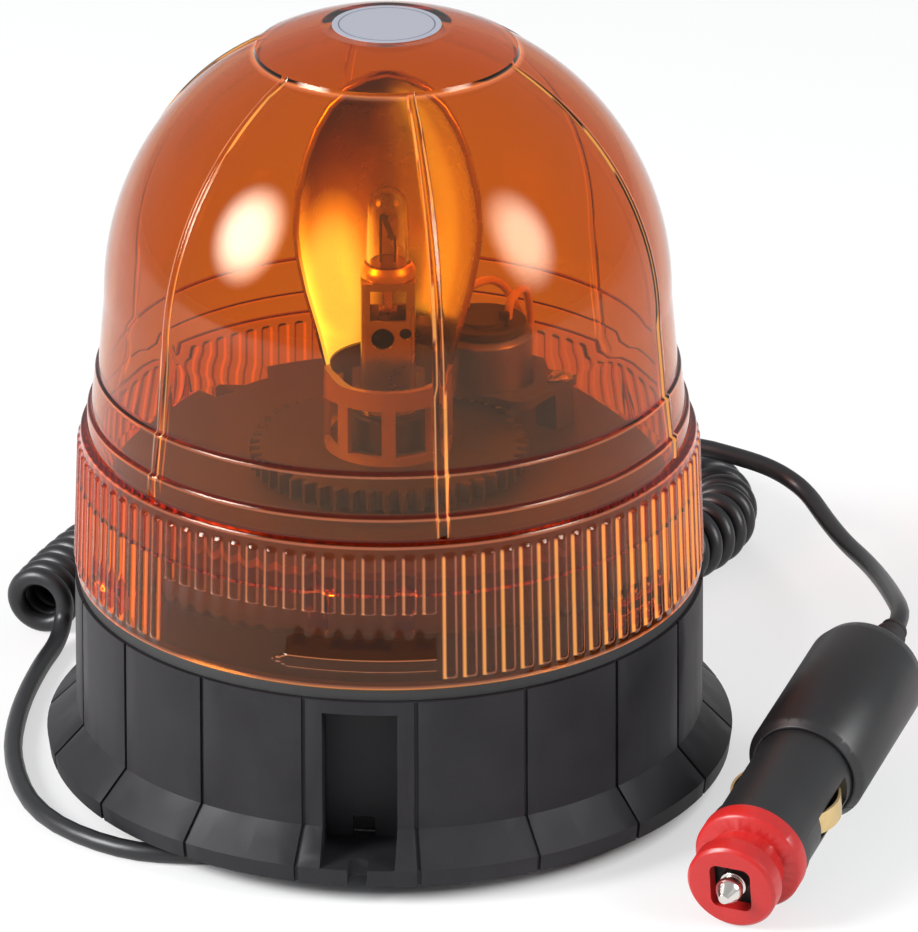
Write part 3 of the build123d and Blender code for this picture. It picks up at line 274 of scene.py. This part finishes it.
cord_black, nodes, links, shader, _ = new_material("cord_black")
shader.inputs["Roughness"].default_value = 0.38
coords = nodes.new("ShaderNodeTexCoord")
grime = nodes.new("ShaderNodeTexNoise")
grime.inputs["Scale"].default_value = 260
grime.inputs["Detail"].default_value = 4
links.new(coords.outputs["Object"], grime.inputs["Vector"])
tone = nodes.new("ShaderNodeValToRGB")
tone.color_ramp.elements[0].color = (0.006, 0.006, 0.007, 1)
tone.color_ramp.elements[1].color = (0.016, 0.016, 0.018, 1)
links.new(grime.outputs["Fac"], tone.inputs["Fac"])
links.new(tone.outputs["Color"], shader.inputs["Base Color"])
ripple = nodes.new("ShaderNodeBump")
ripple.inputs["Strength"].default_value = 0.12
ripple.inputs["Distance"].default_value = 0.0002
links.new(grime.outputs["Fac"], ripple.inputs["Height"])
links.new(ripple.outputs["Normal"], shader.inputs["Normal"])

cord_curve = smooth_route(route)
cord_curve.resolution_u = 4
cord_curve.bevel_depth = CORD_D / 2 * mm
cord_curve.bevel_resolution = 5
cord_curve.use_fill_caps = True
lead = bpy.data.objects.new("lead", cord_curve)
scene.collection.objects.link(lead)
lead.data.materials.append(cord_black)
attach(lead, "base")
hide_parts("base_lead", "curly_cord", "plug_lead")

line = line_of(route)


# Base housing
# One ABS moulding, charcoal black with a fine spark-eroded grain: eighteen flat panels stand on a
# flared foot, and three pockets give room for screws. Its edges are slightly rounded.
grain = bpy.data.node_groups.new("moulded_grain", "ShaderNodeTree")
grain.interface.new_socket("Scale", in_out="INPUT", socket_type="NodeSocketFloat")
grain.interface.new_socket("Height", in_out="OUTPUT", socket_type="NodeSocketFloat")
grain.interface.new_socket("Mottle", in_out="OUTPUT", socket_type="NodeSocketFloat")
nodes, links = grain.nodes, grain.links
given = nodes.new("NodeGroupInput")
result = nodes.new("NodeGroupOutput")
coords = nodes.new("ShaderNodeTexCoord")
speckle = nodes.new("ShaderNodeTexNoise")
speckle.inputs["Detail"].default_value = 3
speckle.inputs["Roughness"].default_value = 0.65
links.new(coords.outputs["Object"], speckle.inputs["Vector"])
links.new(given.outputs["Scale"], speckle.inputs["Scale"])
links.new(speckle.outputs["Fac"], result.inputs["Height"])
cloud_scale = nodes.new("ShaderNodeMath")
cloud_scale.operation = "MULTIPLY"
cloud_scale.inputs[1].default_value = 0.035
links.new(given.outputs["Scale"], cloud_scale.inputs[0])
cloud = nodes.new("ShaderNodeTexNoise")
cloud.inputs["Detail"].default_value = 5
links.new(coords.outputs["Object"], cloud.inputs["Vector"])
links.new(cloud_scale.outputs[0], cloud.inputs["Scale"])
both = nodes.new("ShaderNodeMix")
both.data_type = "FLOAT"
both.inputs["Factor"].default_value = 0.4
links.new(cloud.outputs["Fac"], both.inputs["A"])
links.new(speckle.outputs["Fac"], both.inputs["B"])
links.new(both.outputs["Result"], result.inputs["Mottle"])


def grained(name, dark, light, rough_low, rough_high, scale, depth, metal=0.0):
    """A material whose colour and gloss vary with the shared grain, which also roughens it."""
    material, nodes, links, shader, _ = new_material(name)
    group = nodes.new("ShaderNodeGroup")
    group.node_tree = grain
    group.inputs["Scale"].default_value = scale
    tone = nodes.new("ShaderNodeValToRGB")
    tone.color_ramp.elements[0].position = 0.3
    tone.color_ramp.elements[1].position = 0.7
    tone.color_ramp.elements[0].color = (*dark, 1)
    tone.color_ramp.elements[1].color = (*light, 1)
    links.new(group.outputs["Mottle"], tone.inputs["Fac"])
    links.new(tone.outputs["Color"], shader.inputs["Base Color"])
    gloss = nodes.new("ShaderNodeMapRange")
    gloss.inputs["From Min"].default_value = 0.3
    gloss.inputs["From Max"].default_value = 0.7
    gloss.inputs["To Min"].default_value = rough_low
    gloss.inputs["To Max"].default_value = rough_high
    links.new(group.outputs["Mottle"], gloss.inputs["Value"])
    links.new(gloss.outputs["Result"], shader.inputs["Roughness"])
    bump = nodes.new("ShaderNodeBump")
    bump.inputs["Strength"].default_value = 0.5
    bump.inputs["Distance"].default_value = depth * mm
    links.new(group.outputs["Height"], bump.inputs["Height"])
    links.new(bump.outputs["Normal"], shader.inputs["Normal"])
    shader.inputs["Metallic"].default_value = metal
    return material


def finished(node, body, material, edge=0.2, smooth_angle=35):
    """A clean copy of a CAD node with rounded edges, which stands for that node."""
    bm = bmesh.new()
    bm.from_mesh(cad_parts[node].data)
    bmesh.ops.remove_doubles(bm, verts=bm.verts, dist=0.002 * mm)
    bmesh.ops.dissolve_limit(bm, angle_limit=math.radians(0.5), verts=bm.verts, edges=bm.edges)
    piece = mesh_object(node + "_finished", bm, material, smooth_angle)
    if edge:
        bevel = piece.modifiers.new("rounded_edges", "BEVEL")
        bevel.width = edge * mm
        bevel.segments = 2
        bevel.limit_method = "ANGLE"
        bevel.angle_limit = math.radians(40)
        bevel.harden_normals = True
    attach(piece, body)
    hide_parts(node)
    return piece


charcoal = grained("charcoal_abs", (0.011, 0.010, 0.012), (0.020, 0.019, 0.022), 0.42, 0.56, 2600, 0.03)
charcoal.node_tree.nodes["Principled BSDF"].inputs["Specular IOR Level"].default_value = 0.22
finished("base_housing", "base", charcoal, 0.35)
deck_black = grained("deck_black", (0.030, 0.029, 0.028), (0.075, 0.072, 0.069), 0.35, 0.5, 160, 0.004)
finished("chassis_deck", "base", deck_black, 0.3)


# Gasket and underside
# A black rubber ring seals the lens. Below, a galvanised plate carries the cup magnet in its
# rubber boot, with the nut, screws and grommet that hold the plate and the lead.
rubber = grained("rubber", (0.012, 0.012, 0.012), (0.03, 0.03, 0.031), 0.6, 0.8, 900, 0.05)
zinc = grained("zinc_plate", (0.42, 0.43, 0.45), (0.62, 0.63, 0.64), 0.3, 0.5, 240, 0.01, 1.0)
screw_steel = grained("screw_steel", (0.5, 0.5, 0.5), (0.68, 0.68, 0.67), 0.22, 0.35, 1800, 0.01, 1.0)
ferrite = grained("ferrite", (0.035, 0.035, 0.038), (0.06, 0.06, 0.065), 0.55, 0.75, 700, 0.03)
for node, material, slot, edge in (
    ("lens_gasket", rubber, "gasket_rubber", 0.2),
    ("bottom_plate", zinc, "galvanised_steel", 0.2),
    ("bottom_screws", screw_steel, "screw_steel", 0.15),
    ("magnet_pot", zinc, "pot_steel", 0.3),
    ("ring_magnet", ferrite, "ferrite", 0.3),
    ("magnet_pad", rubber, "pad_rubber", 0.3),
    ("magnet_bolt", screw_steel, "screw_steel", 0.2),
    ("magnet_nut", screw_steel, "screw_steel", 0.3),
    ("cable_grommet", rubber, "gasket_rubber", 0.2),
    ("deck_screws", screw_steel, "screw_steel", 0.15),
):
    finished(node, "base", material, edge)


# Wiring
# A nylon terminal block joins the lead to the four wires that feed the bulb and the motor.
nylon = grained("natural_nylon", (0.72, 0.71, 0.66), (0.82, 0.81, 0.77), 0.4, 0.5, 900, 0.02)
wire_skin = grained("wire_skin", (0.05, 0.012, 0.01), (0.08, 0.02, 0.016), 0.35, 0.5, 900, 0.01)
finished("terminal_block", "base", nylon, 0.25)
finished("inner_wires", "base", wire_skin, 0)
lead_yellow = grained("lead_yellow", (0.62, 0.42, 0.06), (0.74, 0.52, 0.10), 0.35, 0.5, 900, 0.01)
finished("motor_leads", "base", lead_yellow, 0)


# Bearing and rotor
# A dark acetal gear turns on a sintered bush about a hollow steel post. The drum that stands
# on the gear's web has eight slots in its wall and a plain band above them.
post_steel = grained("post_steel", (0.55, 0.55, 0.56), (0.7, 0.7, 0.7), 0.15, 0.3, 500, 0.005, 1.0)
bronze = grained("bush_bronze", (0.42, 0.27, 0.12), (0.55, 0.37, 0.18), 0.3, 0.45, 900, 0.01, 1.0)
drum_tan = grained("drum_acetal", (0.15, 0.10, 0.018), (0.24, 0.17, 0.035), 0.16, 0.26, 900, 0.008)
finished("bearing_post", "base", post_steel, 0.2)
finished("retaining_ring", "base", post_steel, 0.1)
finished("hub_bush", "rotor", bronze, 0.15)
gear_black = grained("gear_acetal", (0.022, 0.020, 0.018), (0.050, 0.046, 0.042), 0.32, 0.45, 300, 0.004)
finished("rotor_hub", "rotor", gear_black, 0.12)
finished("reflector_drum", "rotor", drum_tan, 0.15)


# Reflector
# A thin hood of metallised plastic stands on the drum behind the bulb, open to the front. Its
# silhouette is a tall rounded egg, and its two front edges are plain.
LENS_Z = 41.0
DECK_Z = 61.0
GLIDE = 0.06
BUSH_FLANGE_T = 0.7
GEAR_T = 4.0
DRUM_H = 14.6
DRUM_TOP = DECK_Z + GLIDE + BUSH_FLANGE_T + GEAR_T + DRUM_H
HOOD = [(12.0, 0.06), (13.9, 8.0), (15.7, 14.8), (17.0, 21.5), (17.5, 26.8), (17.1, 33.5), (15.2, 41.5),
        (13.2, 46.8), (10.8, 50.8), (7.6, 54.2), (4.0, 56.2), (0.0, 57.0)]
HOOD_WALL = 1.1


def turned(name, points, steps, material, body, smooth_angle=40, angle=360.0, start=0.0,
           sectors=1):
    """A piece spun about Z from its outline of (radius, height) points, in millimetres. A fine
    one is spun as one sector, which is then repeated round."""
    bm = bmesh.new()
    verts = [bm.verts.new((r * mm, 0, z * mm)) for r, z in points]
    edges = [bm.edges.new(pair) for pair in zip(verts, verts[1:])]
    bmesh.ops.rotate(bm, verts=verts, cent=(0, 0, 0), matrix=Matrix.Rotation(math.radians(start), 3, "Z"))
    full = angle >= 360 and sectors == 1
    bmesh.ops.spin(bm, geom=verts + edges, axis=(0, 0, 1), cent=(0, 0, 0),
                   angle=math.radians(angle / sectors), steps=steps // sectors, use_merge=full)
    sector = bm.verts[:] + bm.edges[:] + bm.faces[:]
    for k in range(1, sectors):
        copied = bmesh.ops.duplicate(bm, geom=sector)["geom"]
        bmesh.ops.rotate(bm, verts=[e for e in copied if isinstance(e, bmesh.types.BMVert)], cent=(0, 0, 0),
                         matrix=Matrix.Rotation(math.radians(k * angle / sectors), 3, "Z"))
    bmesh.ops.remove_doubles(bm, verts=bm.verts, dist=0.001 * mm)
    bmesh.ops.recalc_face_normals(bm, faces=bm.faces)
    piece = mesh_object(name, bm, material, smooth_angle)
    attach(piece, body)
    return piece


metallised = grained("metallised_hood", (0.60, 0.45, 0.14), (0.70, 0.54, 0.20), 0.24, 0.32, 60, 0.004, 1.0)
nodes, links = metallised.node_tree.nodes, metallised.node_tree.links
# A painted reflection: a warm patch that glows low on the left of the inside stands for a lamp mirrored
# there.
coords = nodes.new("ShaderNodeTexCoord")
painted_reflection_place = nodes.new("ShaderNodeVectorMath")
painted_reflection_place.operation = "MULTIPLY_ADD"
painted_reflection_place.inputs[1].default_value = (74, 0, 33)
painted_reflection_place.inputs[2].default_value = (0.82, 0, -(DRUM_TOP + 8) * 0.033)
links.new(coords.outputs["Object"], painted_reflection_place.inputs[0])
painted_reflection_reach = nodes.new("ShaderNodeVectorMath")
painted_reflection_reach.operation = "LENGTH"
links.new(painted_reflection_place.outputs[0], painted_reflection_reach.inputs[0])
inward = nodes.new("ShaderNodeVectorMath")
inward.operation = "DOT_PRODUCT"
links.new(coords.outputs["Normal"], inward.inputs[0])
level = nodes.new("ShaderNodeVectorMath")
level.operation = "MULTIPLY"
level.inputs[1].default_value = (1, 1, 0)
links.new(coords.outputs["Object"], level.inputs[0])
links.new(level.outputs[0], inward.inputs[1])
inside_hood = nodes.new("ShaderNodeMath")
inside_hood.operation = "LESS_THAN"
inside_hood.inputs[1].default_value = 0.0
links.new(inward.outputs["Value"], inside_hood.inputs[0])
painted_reflection_soft = nodes.new("ShaderNodeMapRange")
painted_reflection_soft.interpolation_type = "SMOOTHSTEP"
painted_reflection_soft.inputs["From Min"].default_value = 1.0
painted_reflection_soft.inputs["From Max"].default_value = 0.3
links.new(painted_reflection_reach.outputs["Value"], painted_reflection_soft.inputs["Value"])
painted_reflection_mask = nodes.new("ShaderNodeMath")
painted_reflection_mask.operation = "MULTIPLY"
links.new(painted_reflection_soft.outputs["Result"], painted_reflection_mask.inputs[0])
links.new(inside_hood.outputs[0], painted_reflection_mask.inputs[1])
painted_reflection_colour = nodes.new("ShaderNodeValToRGB")
for at, colour in ((0.3, (0.10, 0.035, 0.003, 1)), (0.6, (0.5, 0.28, 0.05, 1))):
    painted_reflection_colour.color_ramp.elements.new(at).color = colour
painted_reflection_colour.color_ramp.elements[0].color = (0, 0, 0, 1)
painted_reflection_colour.color_ramp.elements[-1].color = (0.95, 0.95, 0.70, 1)
links.new(painted_reflection_mask.outputs[0], painted_reflection_colour.inputs["Fac"])
hood_shader = nodes["Principled BSDF"]
links.new(painted_reflection_colour.outputs["Color"], hood_shader.inputs["Emission Color"])
hood_shader.inputs["Emission Strength"].default_value = 2.0
hood_points = [(r, DRUM_TOP + h) for r, h in HOOD]
hood = turned("reflector_hood", hood_points, 96, metallised, "rotor", 60, 190, -5)
wall = hood.modifiers.new("wall", "SOLIDIFY")
wall.thickness = HOOD_WALL * mm
wall.offset = -1
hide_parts("reflector")


# Motor
# A flat can motor in steel stands on a black nylon bridge over the gear's edge, its pinion below.
# Its plastic end cap carries two solder tags.
can_steel = grained("motor_steel", (0.20, 0.19, 0.18), (0.30, 0.28, 0.26), 0.25, 0.4, 400, 0.01, 1.0)
brass = grained("brass", (0.66, 0.47, 0.2), (0.80, 0.60, 0.30), 0.22, 0.4, 500, 0.01, 1.0)
finished("motor_bracket", "base", deck_black, 0.25)
finished("motor_screws", "base", screw_steel, 0.15)
finished("motor_can", "base", can_steel, 0.3)
finished("motor_cap", "base", deck_black, 0.2)
finished("motor_pinion", "pinion", brass, 0.1)


# Bulb and holder
# A halogen capsule bulb on a brass flange sits on a folded steel box, through whose windows the
# brass terminal shows. Leads, filament and glass are drawn as they are.
holder_steel = grained("holder_steel", (0.44, 0.41, 0.36), (0.62, 0.58, 0.5), 0.2, 0.38, 300, 0.02, 1.0)
tungsten = grained("filament_wire", (0.1, 0.1, 0.1), (0.2, 0.2, 0.2), 0.3, 0.5, 900, 0.01, 1.0)
finished("bulb_holder", "base", holder_steel, 0.15)
finished("bulb_flange", "base", brass, 0.2)
finished("bulb_terminal", "base", brass, 0.1)
finished("bulb_filament", "base", tungsten, 0)
clear_glass, nodes, links, shader, out = new_material("bulb_clear_glass")
shader.inputs["Base Color"].default_value = (0.98, 0.98, 0.97, 1)
shader.inputs["Roughness"].default_value = 0.0
shader.inputs["IOR"].default_value = 1.5
shader.inputs["Transmission Weight"].default_value = 1.0
GLASS_Z = DECK_Z + 15.0 + 22.0 + 2.7
GLASS_OUT = [(4.1, 0), (4.1, 1.5), (3.95, 6.0), (3.8, 10.2), (3.6, 11.9), (3.0, 13.2),
             (2.0, 14.1), (1.1, 14.45), (0.7, 14.7), (0.0, 14.8)]
GLASS_IN = [(0.0, 14.0), (1.6, 13.5), (2.7, 12.3), (3.1, 10.9), (3.2, 9.5), (3.3, 5.0), (3.4, 1.0), (3.4, 0)]
glass = turned("bulb_capsule", [(r, GLASS_Z + h) for r, h in GLASS_OUT + GLASS_IN + GLASS_OUT[:1]], 48,
               clear_glass, "base", 50)
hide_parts("bulb_glass")


# Lens
# One clear amber polycarbonate moulding, 2.2 mm thick: a fluted skirt, three stepped rings, a dome
# with six thin ribs and a small cap ring. A window without flutes carries a moulded arrow.
SKIRT_LOW_R = 58.7
SKIRT_TOP_R = 57.4
SKIRT_H = 27.9
DOME_Z = LENS_Z + 54.45
DOME_R = 52.46
LENS_WALL = 2.2
CAP_R = 24.3
FLAT_R = 12.0
COLUMNS = 800
FLUTE_H = 0.55
RIB_H = 0.35
RIB_HALF = 1.0
WINDOW = (-45.0, 9.0)
ARROW = (-21.7, -18.4, 8.3)
ARROW_Z = (LENS_Z + 3.6, LENS_Z + 6.0)


def dome_arc(radius, from_r, to_r, steps):
    """Points along the dome's arc between two distances from the axis."""
    first, last = math.asin(from_r / radius), math.asin(to_r / radius)
    points = []
    for k in range(steps + 1):
        a = first + (last - first) * k / steps
        points.append((radius * math.sin(a), DOME_Z + radius * math.cos(a)))
    return points


def skirt_r(z):
    return SKIRT_LOW_R - (SKIRT_LOW_R - SKIRT_TOP_R) * (z - LENS_Z) / SKIRT_H


skirt_rows = [0.25, 1.7, 2.0, 2.35, 2.9, 3.55, 3.7, 4.0, 4.4, 4.8, 5.2, 5.6, 5.9, 6.05,
              14.4, 14.8, 15.2, 15.8, 24.6, 25.1, 25.5, 25.9, 26.6]
lens_outline = [(SKIRT_LOW_R - 0.25, LENS_Z)]
lens_outline += [(skirt_r(LENS_Z + h), LENS_Z + h) for h in skirt_rows]
lens_outline += [(r, LENS_Z + h) for r, h in (
    (57.42, 27.35), (57.36, 27.62), (57.2, 27.82), (56.95, 27.92), (56.4, 28.0),
    (56.22, 28.12), (56.16, 28.4), (56.14, 28.7), (56.04, 31.65), (56.02, 32.05),
    (55.96, 32.35), (55.8, 32.57), (55.55, 32.68), (55.4, 32.76), (55.26, 32.9),
    (55.2, 33.2), (55.17, 33.5), (54.47, 39.35), (54.42, 39.75), (54.36, 40.05), (54.2, 40.27),
    (53.95, 40.4), (53.8, 40.5), (53.72, 40.8), (53.69, 41.1), (53.2, 46.5),
    (52.75, 51.0), (52.52, 53.4))]
lens_outline += dome_arc(DOME_R, DOME_R, CAP_R, 26)
lens_outline += dome_arc(DOME_R + 0.5, CAP_R - 0.35, FLAT_R + 0.3, 7)
lens_outline += [(FLAT_R, LENS_Z + 106.03), (FLAT_R - 0.4, LENS_Z + 106.0), (0, LENS_Z + 106.0)]
lens_inside = dome_arc(DOME_R - LENS_WALL, 0.0, DOME_R - LENS_WALL, 22)
lens_inside += [(52.2, LENS_Z + 38.9), (53.6, LENS_Z + 31.2), (54.0, LENS_Z + 26.4)]
lens_inside += [(54.4, LENS_Z + 18.3), (54.55, LENS_Z + 17.6), (55.68, LENS_Z + 17.3)]
lens_inside += [(skirt_r(LENS_Z + h) - LENS_WALL, LENS_Z + h) for h in (10.8, 10.5, 5.4, 5.3, 2.9, 2.8, 0)]

amber, nodes, links, shader, out = new_material("amber_polycarbonate")
shader.inputs["Roughness"].default_value = 0.015
shader.inputs["Specular Tint"].default_value = (0.95, 0.85, 0.70, 1)
shader.inputs["IOR"].default_value = 1.44
shader.inputs["Transmission Weight"].default_value = 1.0
depth = nodes.new("ShaderNodeVolumeAbsorption")
depth.inputs["Color"].default_value = (0.90, 0.55, 0.05, 1)
depth.inputs["Density"].default_value = 450
links.new(depth.outputs[0], out.inputs["Volume"])
tinted = nodes.new("ShaderNodeBsdfTransparent")
tinted.inputs["Color"].default_value = (0.97, 0.80, 0.30, 1)
path = nodes.new("ShaderNodeLightPath")
through = nodes.new("ShaderNodeMixShader")
links.new(path.outputs["Is Shadow Ray"], through.inputs[0])
links.new(shader.outputs[0], through.inputs[1])
links.new(tinted.outputs[0], through.inputs[2])
links.new(through.outputs[0], out.inputs["Surface"])
# Painted highlights: golden and pinkish emission on the edges of the flutes, ribs, ledges, arrow and rims
# stands for light gathered by the amber.
edges = nodes.new("ShaderNodeAttribute")
edges.attribute_name = "painted_edge_highlights"
painted_edge_colour = nodes.new("ShaderNodeValToRGB")
painted_edge_colour.color_ramp.elements.new(0.7)
for element, (at, colour) in zip(painted_edge_colour.color_ramp.elements, (
        (0.42, (0, 0, 0, 1)), (0.7, (0.38, 0.13, 0.07, 1)), (1.0, (1.0, 0.42, 0.08, 1)))):
    element.position = at
    element.color = colour
links.new(edges.outputs["Fac"], painted_edge_colour.inputs["Fac"])
links.new(painted_edge_colour.outputs["Color"], shader.inputs["Emission Color"])
shader.inputs["Emission Strength"].default_value = 0.75
# Painted shade: a deep red base colour on the ledge risers, the inner band and its guides stands for light's
# longer path through the amber and the shade under the ledges.
ledges = nodes.new("ShaderNodeAttribute")
ledges.attribute_name = "painted_red_shade"
tint = nodes.new("ShaderNodeValToRGB")
tint.color_ramp.elements[0].color = (0.81, 0.48, 0.085, 1)
tint.color_ramp.elements[1].color = (0.40, 0.02, 0.01, 1)
links.new(ledges.outputs["Fac"], tint.inputs["Fac"])
links.new(tint.outputs["Color"], shader.inputs["Base Color"])

lens = turned("amber_lens", lens_outline + lens_inside + lens_outline[:1], COLUMNS, amber, "dome",
              28, 360, WINDOW[1] + 1.8 - 90, 10)
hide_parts("lens")


def ease(low, high, x):
    """0 below low, 1 above high, and rounded like a quarter circle between."""
    t = min(max((x - low) / (high - low), 0), 1)
    return math.sqrt(1 - (1 - t) ** 2)


def flank(offset, places=((0, 0), (0.45, 0.5), (0.9, 0.93), (1.35, 1.17), (1.8, 1.8))):
    """Moves a column of the mesh towards a flute's flank, by its angle from the flute's middle."""
    for (a, to_a), (b, to_b) in zip(places, places[1:]):
        if abs(offset) <= b + 1e-6:
            return math.copysign(to_a + (to_b - to_a) * (abs(offset) - a) / (b - a), offset)
    return offset


def lens_relief(r, z, bearing):
    """How far the surface stands out from its turned shape, in millimetres, how far it shifts
    round in degrees, a painted highlight up to 1 where edges gather the light, and last, painted deep red
    shade on the ledges and the inner band."""
    h = z - LENS_Z
    outside = r > skirt_r(z) - 1.0 if h < SKIRT_H - 1 else math.hypot(r, z - DOME_Z) > DOME_R - 1.1
    raised = shift = edge = deep = 0.0
    if outside and h < SKIRT_H - 1:
        off_flute = (bearing - WINDOW[1]) % 3.6 - 1.8
        shift = flank(off_flute) - off_flute
        off_flute = off_flute + shift
        windowed = (bearing - WINDOW[0]) % 360 < WINDOW[1] - WINDOW[0]
        lowest = 14.6 if windowed else 1.8
        stands = ease(lowest, lowest + 0.9, h) * ease(-25.9, -25.0, -h)
        if abs(off_flute) < 1.15:
            raised = FLUTE_H * math.sqrt(1 - (off_flute / 1.15) ** 2) * stands
        # Painted highlights on the flutes' flanks, then on their lower ends.
        if stands > 0:
            edge = 1.0 if -1.2 < off_flute < -0.9 else 0.66 if 0.9 < off_flute < 1.2 else 0.0
            edge *= stands * (0.82 if windowed else 1.0)
        if abs(off_flute) < 1.2 and lowest < h < lowest + 0.6:
            edge = 1.0 if off_flute < -0.7 else 0.6
        tip, neck, end = ARROW
        middle = (ARROW_Z[0] + ARROW_Z[1]) / 2
        reach = (ARROW_Z[1] - ARROW_Z[0]) / 2 * min(max((bearing - tip) / (neck - tip), 0), 1)
        # A moulded arrow, with a painted highlight round its outline.
        if tip < bearing < end and abs(z - middle) < reach - 0.05:
            raised = 0.35
            edge = 0.9 if abs(z - middle) > reach - 0.35 else 0.0
        # Painted highlight along the bottom rim.
        if h < 0.5:
            edge = 0.8
    elif outside and h > 28.2 and r > CAP_R - 0.2:
        off_rib = abs((bearing - 10 + 30) % 60 - 30)
        distance = math.radians(off_rib) * r
        half = RIB_HALF if h < 55 else RIB_HALF * 0.75
        if distance < half and h > 28.4:
            raised = RIB_H * (1 - (distance / half) ** 4)
        # Painted highlights on the ribs' flanks and on the cap ring's edge.
        if 0.62 * half < distance < 1.2 * half and h > 28.4:
            edge = 1.0
        if r < CAP_R + 0.3:
            edge = 0.8
    if outside and h > 27.0 and h < 42.0:
        for foot in (27.9, 32.65, 40.35):
            # Painted pinkish highlight on each ledge's rounded corner.
            if foot - 0.62 < h < foot - 0.1:
                edge = max(edge, 0.7)
            # Painted deep red shade on the riser under each ledge.
            if foot - 0.1 < h < foot + 0.52:
                deep = 1.0
    elif not outside and h < 17.8:
        guide = min(abs((bearing + 5.4 - side * 7.9 + 60) % 120 - 60) for side in (-1, 1))
        lug = abs((bearing + 5.4) % 120 - 60)
        # Painted deep red shade on the inner band and, stronger, on its guides.
        if h > 10.6:
            deep = 0.35
        if guide < 1.75 and h > 10.6:
            raised = -1.2
            deep = 0.6
        if lug < 7.0 and 2.85 < h < 5.35:
            raised = -1.95
    return raised, shift, edge, deep


painted_edge_highlights = lens.data.attributes.new("painted_edge_highlights", "FLOAT", "POINT")
painted_red_shade = lens.data.attributes.new("painted_red_shade", "FLOAT", "POINT")
for v in lens.data.vertices:
    r, z = math.hypot(v.co.x, v.co.y) / mm, v.co.z / mm
    if r > 1:
        raised, shift, edge, deep = lens_relief(r, z, math.degrees(math.atan2(v.co.x, -v.co.y)))
        painted_edge_highlights.data[v.index].value = edge
        painted_red_shade.data[v.index].value = deep
        if shift:
            v.co.rotate(Matrix.Rotation(math.radians(shift), 3, "Z"))
        if raised:
            out_from = Vector((0, 0, DOME_Z * mm)) if z > DOME_Z else Vector((0, 0, v.co.z))
            v.co += (v.co - out_from).normalized() * raised * mm


# Label
# A white vinyl disc with a thin grey ring is stuck on the flat top. It is left without words.
label_vinyl, nodes, links, shader, _ = new_material("label_vinyl")
shader.inputs["Roughness"].default_value = 0.45
coords = nodes.new("ShaderNodeTexCoord")
flat = nodes.new("ShaderNodeVectorMath")
flat.operation = "MULTIPLY"
flat.inputs[1].default_value = (1, 1, 0)
distance = nodes.new("ShaderNodeVectorMath")
distance.operation = "LENGTH"
ring = nodes.new("ShaderNodeValToRGB")
ring.color_ramp.interpolation = "CONSTANT"
RING_SPREAD = 100
stops = ((0.0, (0.34, 0.35, 0.40, 1)), (0.0086, (0.10, 0.12, 0.18, 1)), (0.0089, (0.34, 0.35, 0.40, 1)))
while len(ring.color_ramp.elements) < len(stops):
    ring.color_ramp.elements.new(0.5)
for element, (at, colour) in zip(ring.color_ramp.elements, stops):
    element.position = at * RING_SPREAD
    element.color = colour
widen = nodes.new("ShaderNodeMath")
widen.operation = "MULTIPLY"
widen.inputs[1].default_value = RING_SPREAD
links.new(coords.outputs["Object"], flat.inputs[0])
links.new(flat.outputs[0], distance.inputs[0])
links.new(distance.outputs["Value"], widen.inputs[0])
links.new(widen.outputs[0], ring.inputs["Fac"])
links.new(ring.outputs["Color"], shader.inputs["Base Color"])
finished("lens_label", "dome", label_vinyl, 0.04)


# Plug
# Two black nylon shells are screwed about the fuse and hold the black nose. A red adapter ring
# snaps on the nose, nickel tip and brass side contacts are sprung, and a ribbed boot ends it.
plug_black = grained("plug_black", (0.008, 0.008, 0.009), (0.016, 0.016, 0.017), 0.35, 0.48, 1800, 0.02)
plug_red = grained("plug_red", (0.40, 0.010, 0.010), (0.50, 0.018, 0.016), 0.28, 0.4, 1500, 0.015)
nickel = grained("nickel", (0.62, 0.60, 0.56), (0.75, 0.73, 0.69), 0.12, 0.25, 500, 0.005, 1.0)
for node, body, material, slot, edge in (
    ("plug_shell_upper", "base", plug_black, "plug_black", 0.2),
    ("plug_shell_lower", "base", plug_black, "plug_black", 0.2),
    ("plug_nose", "base", plug_black, "plug_black", 0.2),
    ("strain_relief", "base", rubber, "gasket_rubber", 0.2),
    ("plug_adapter", "adapter", plug_red, "plug_red", 0.3),
    ("plug_tip", "tip", nickel, "nickel", 0.1),
    ("plug_spring", "tip", screw_steel, "spring_steel", 0),
    ("plug_fuse", "base", clear_glass, "glass_clear", 0),
    ("plug_contact_right", "contact_right", brass, "brass", 0.08),
    ("plug_contact_left", "contact_left", brass, "brass", 0.08),
):
    finished(node, body, material, edge)
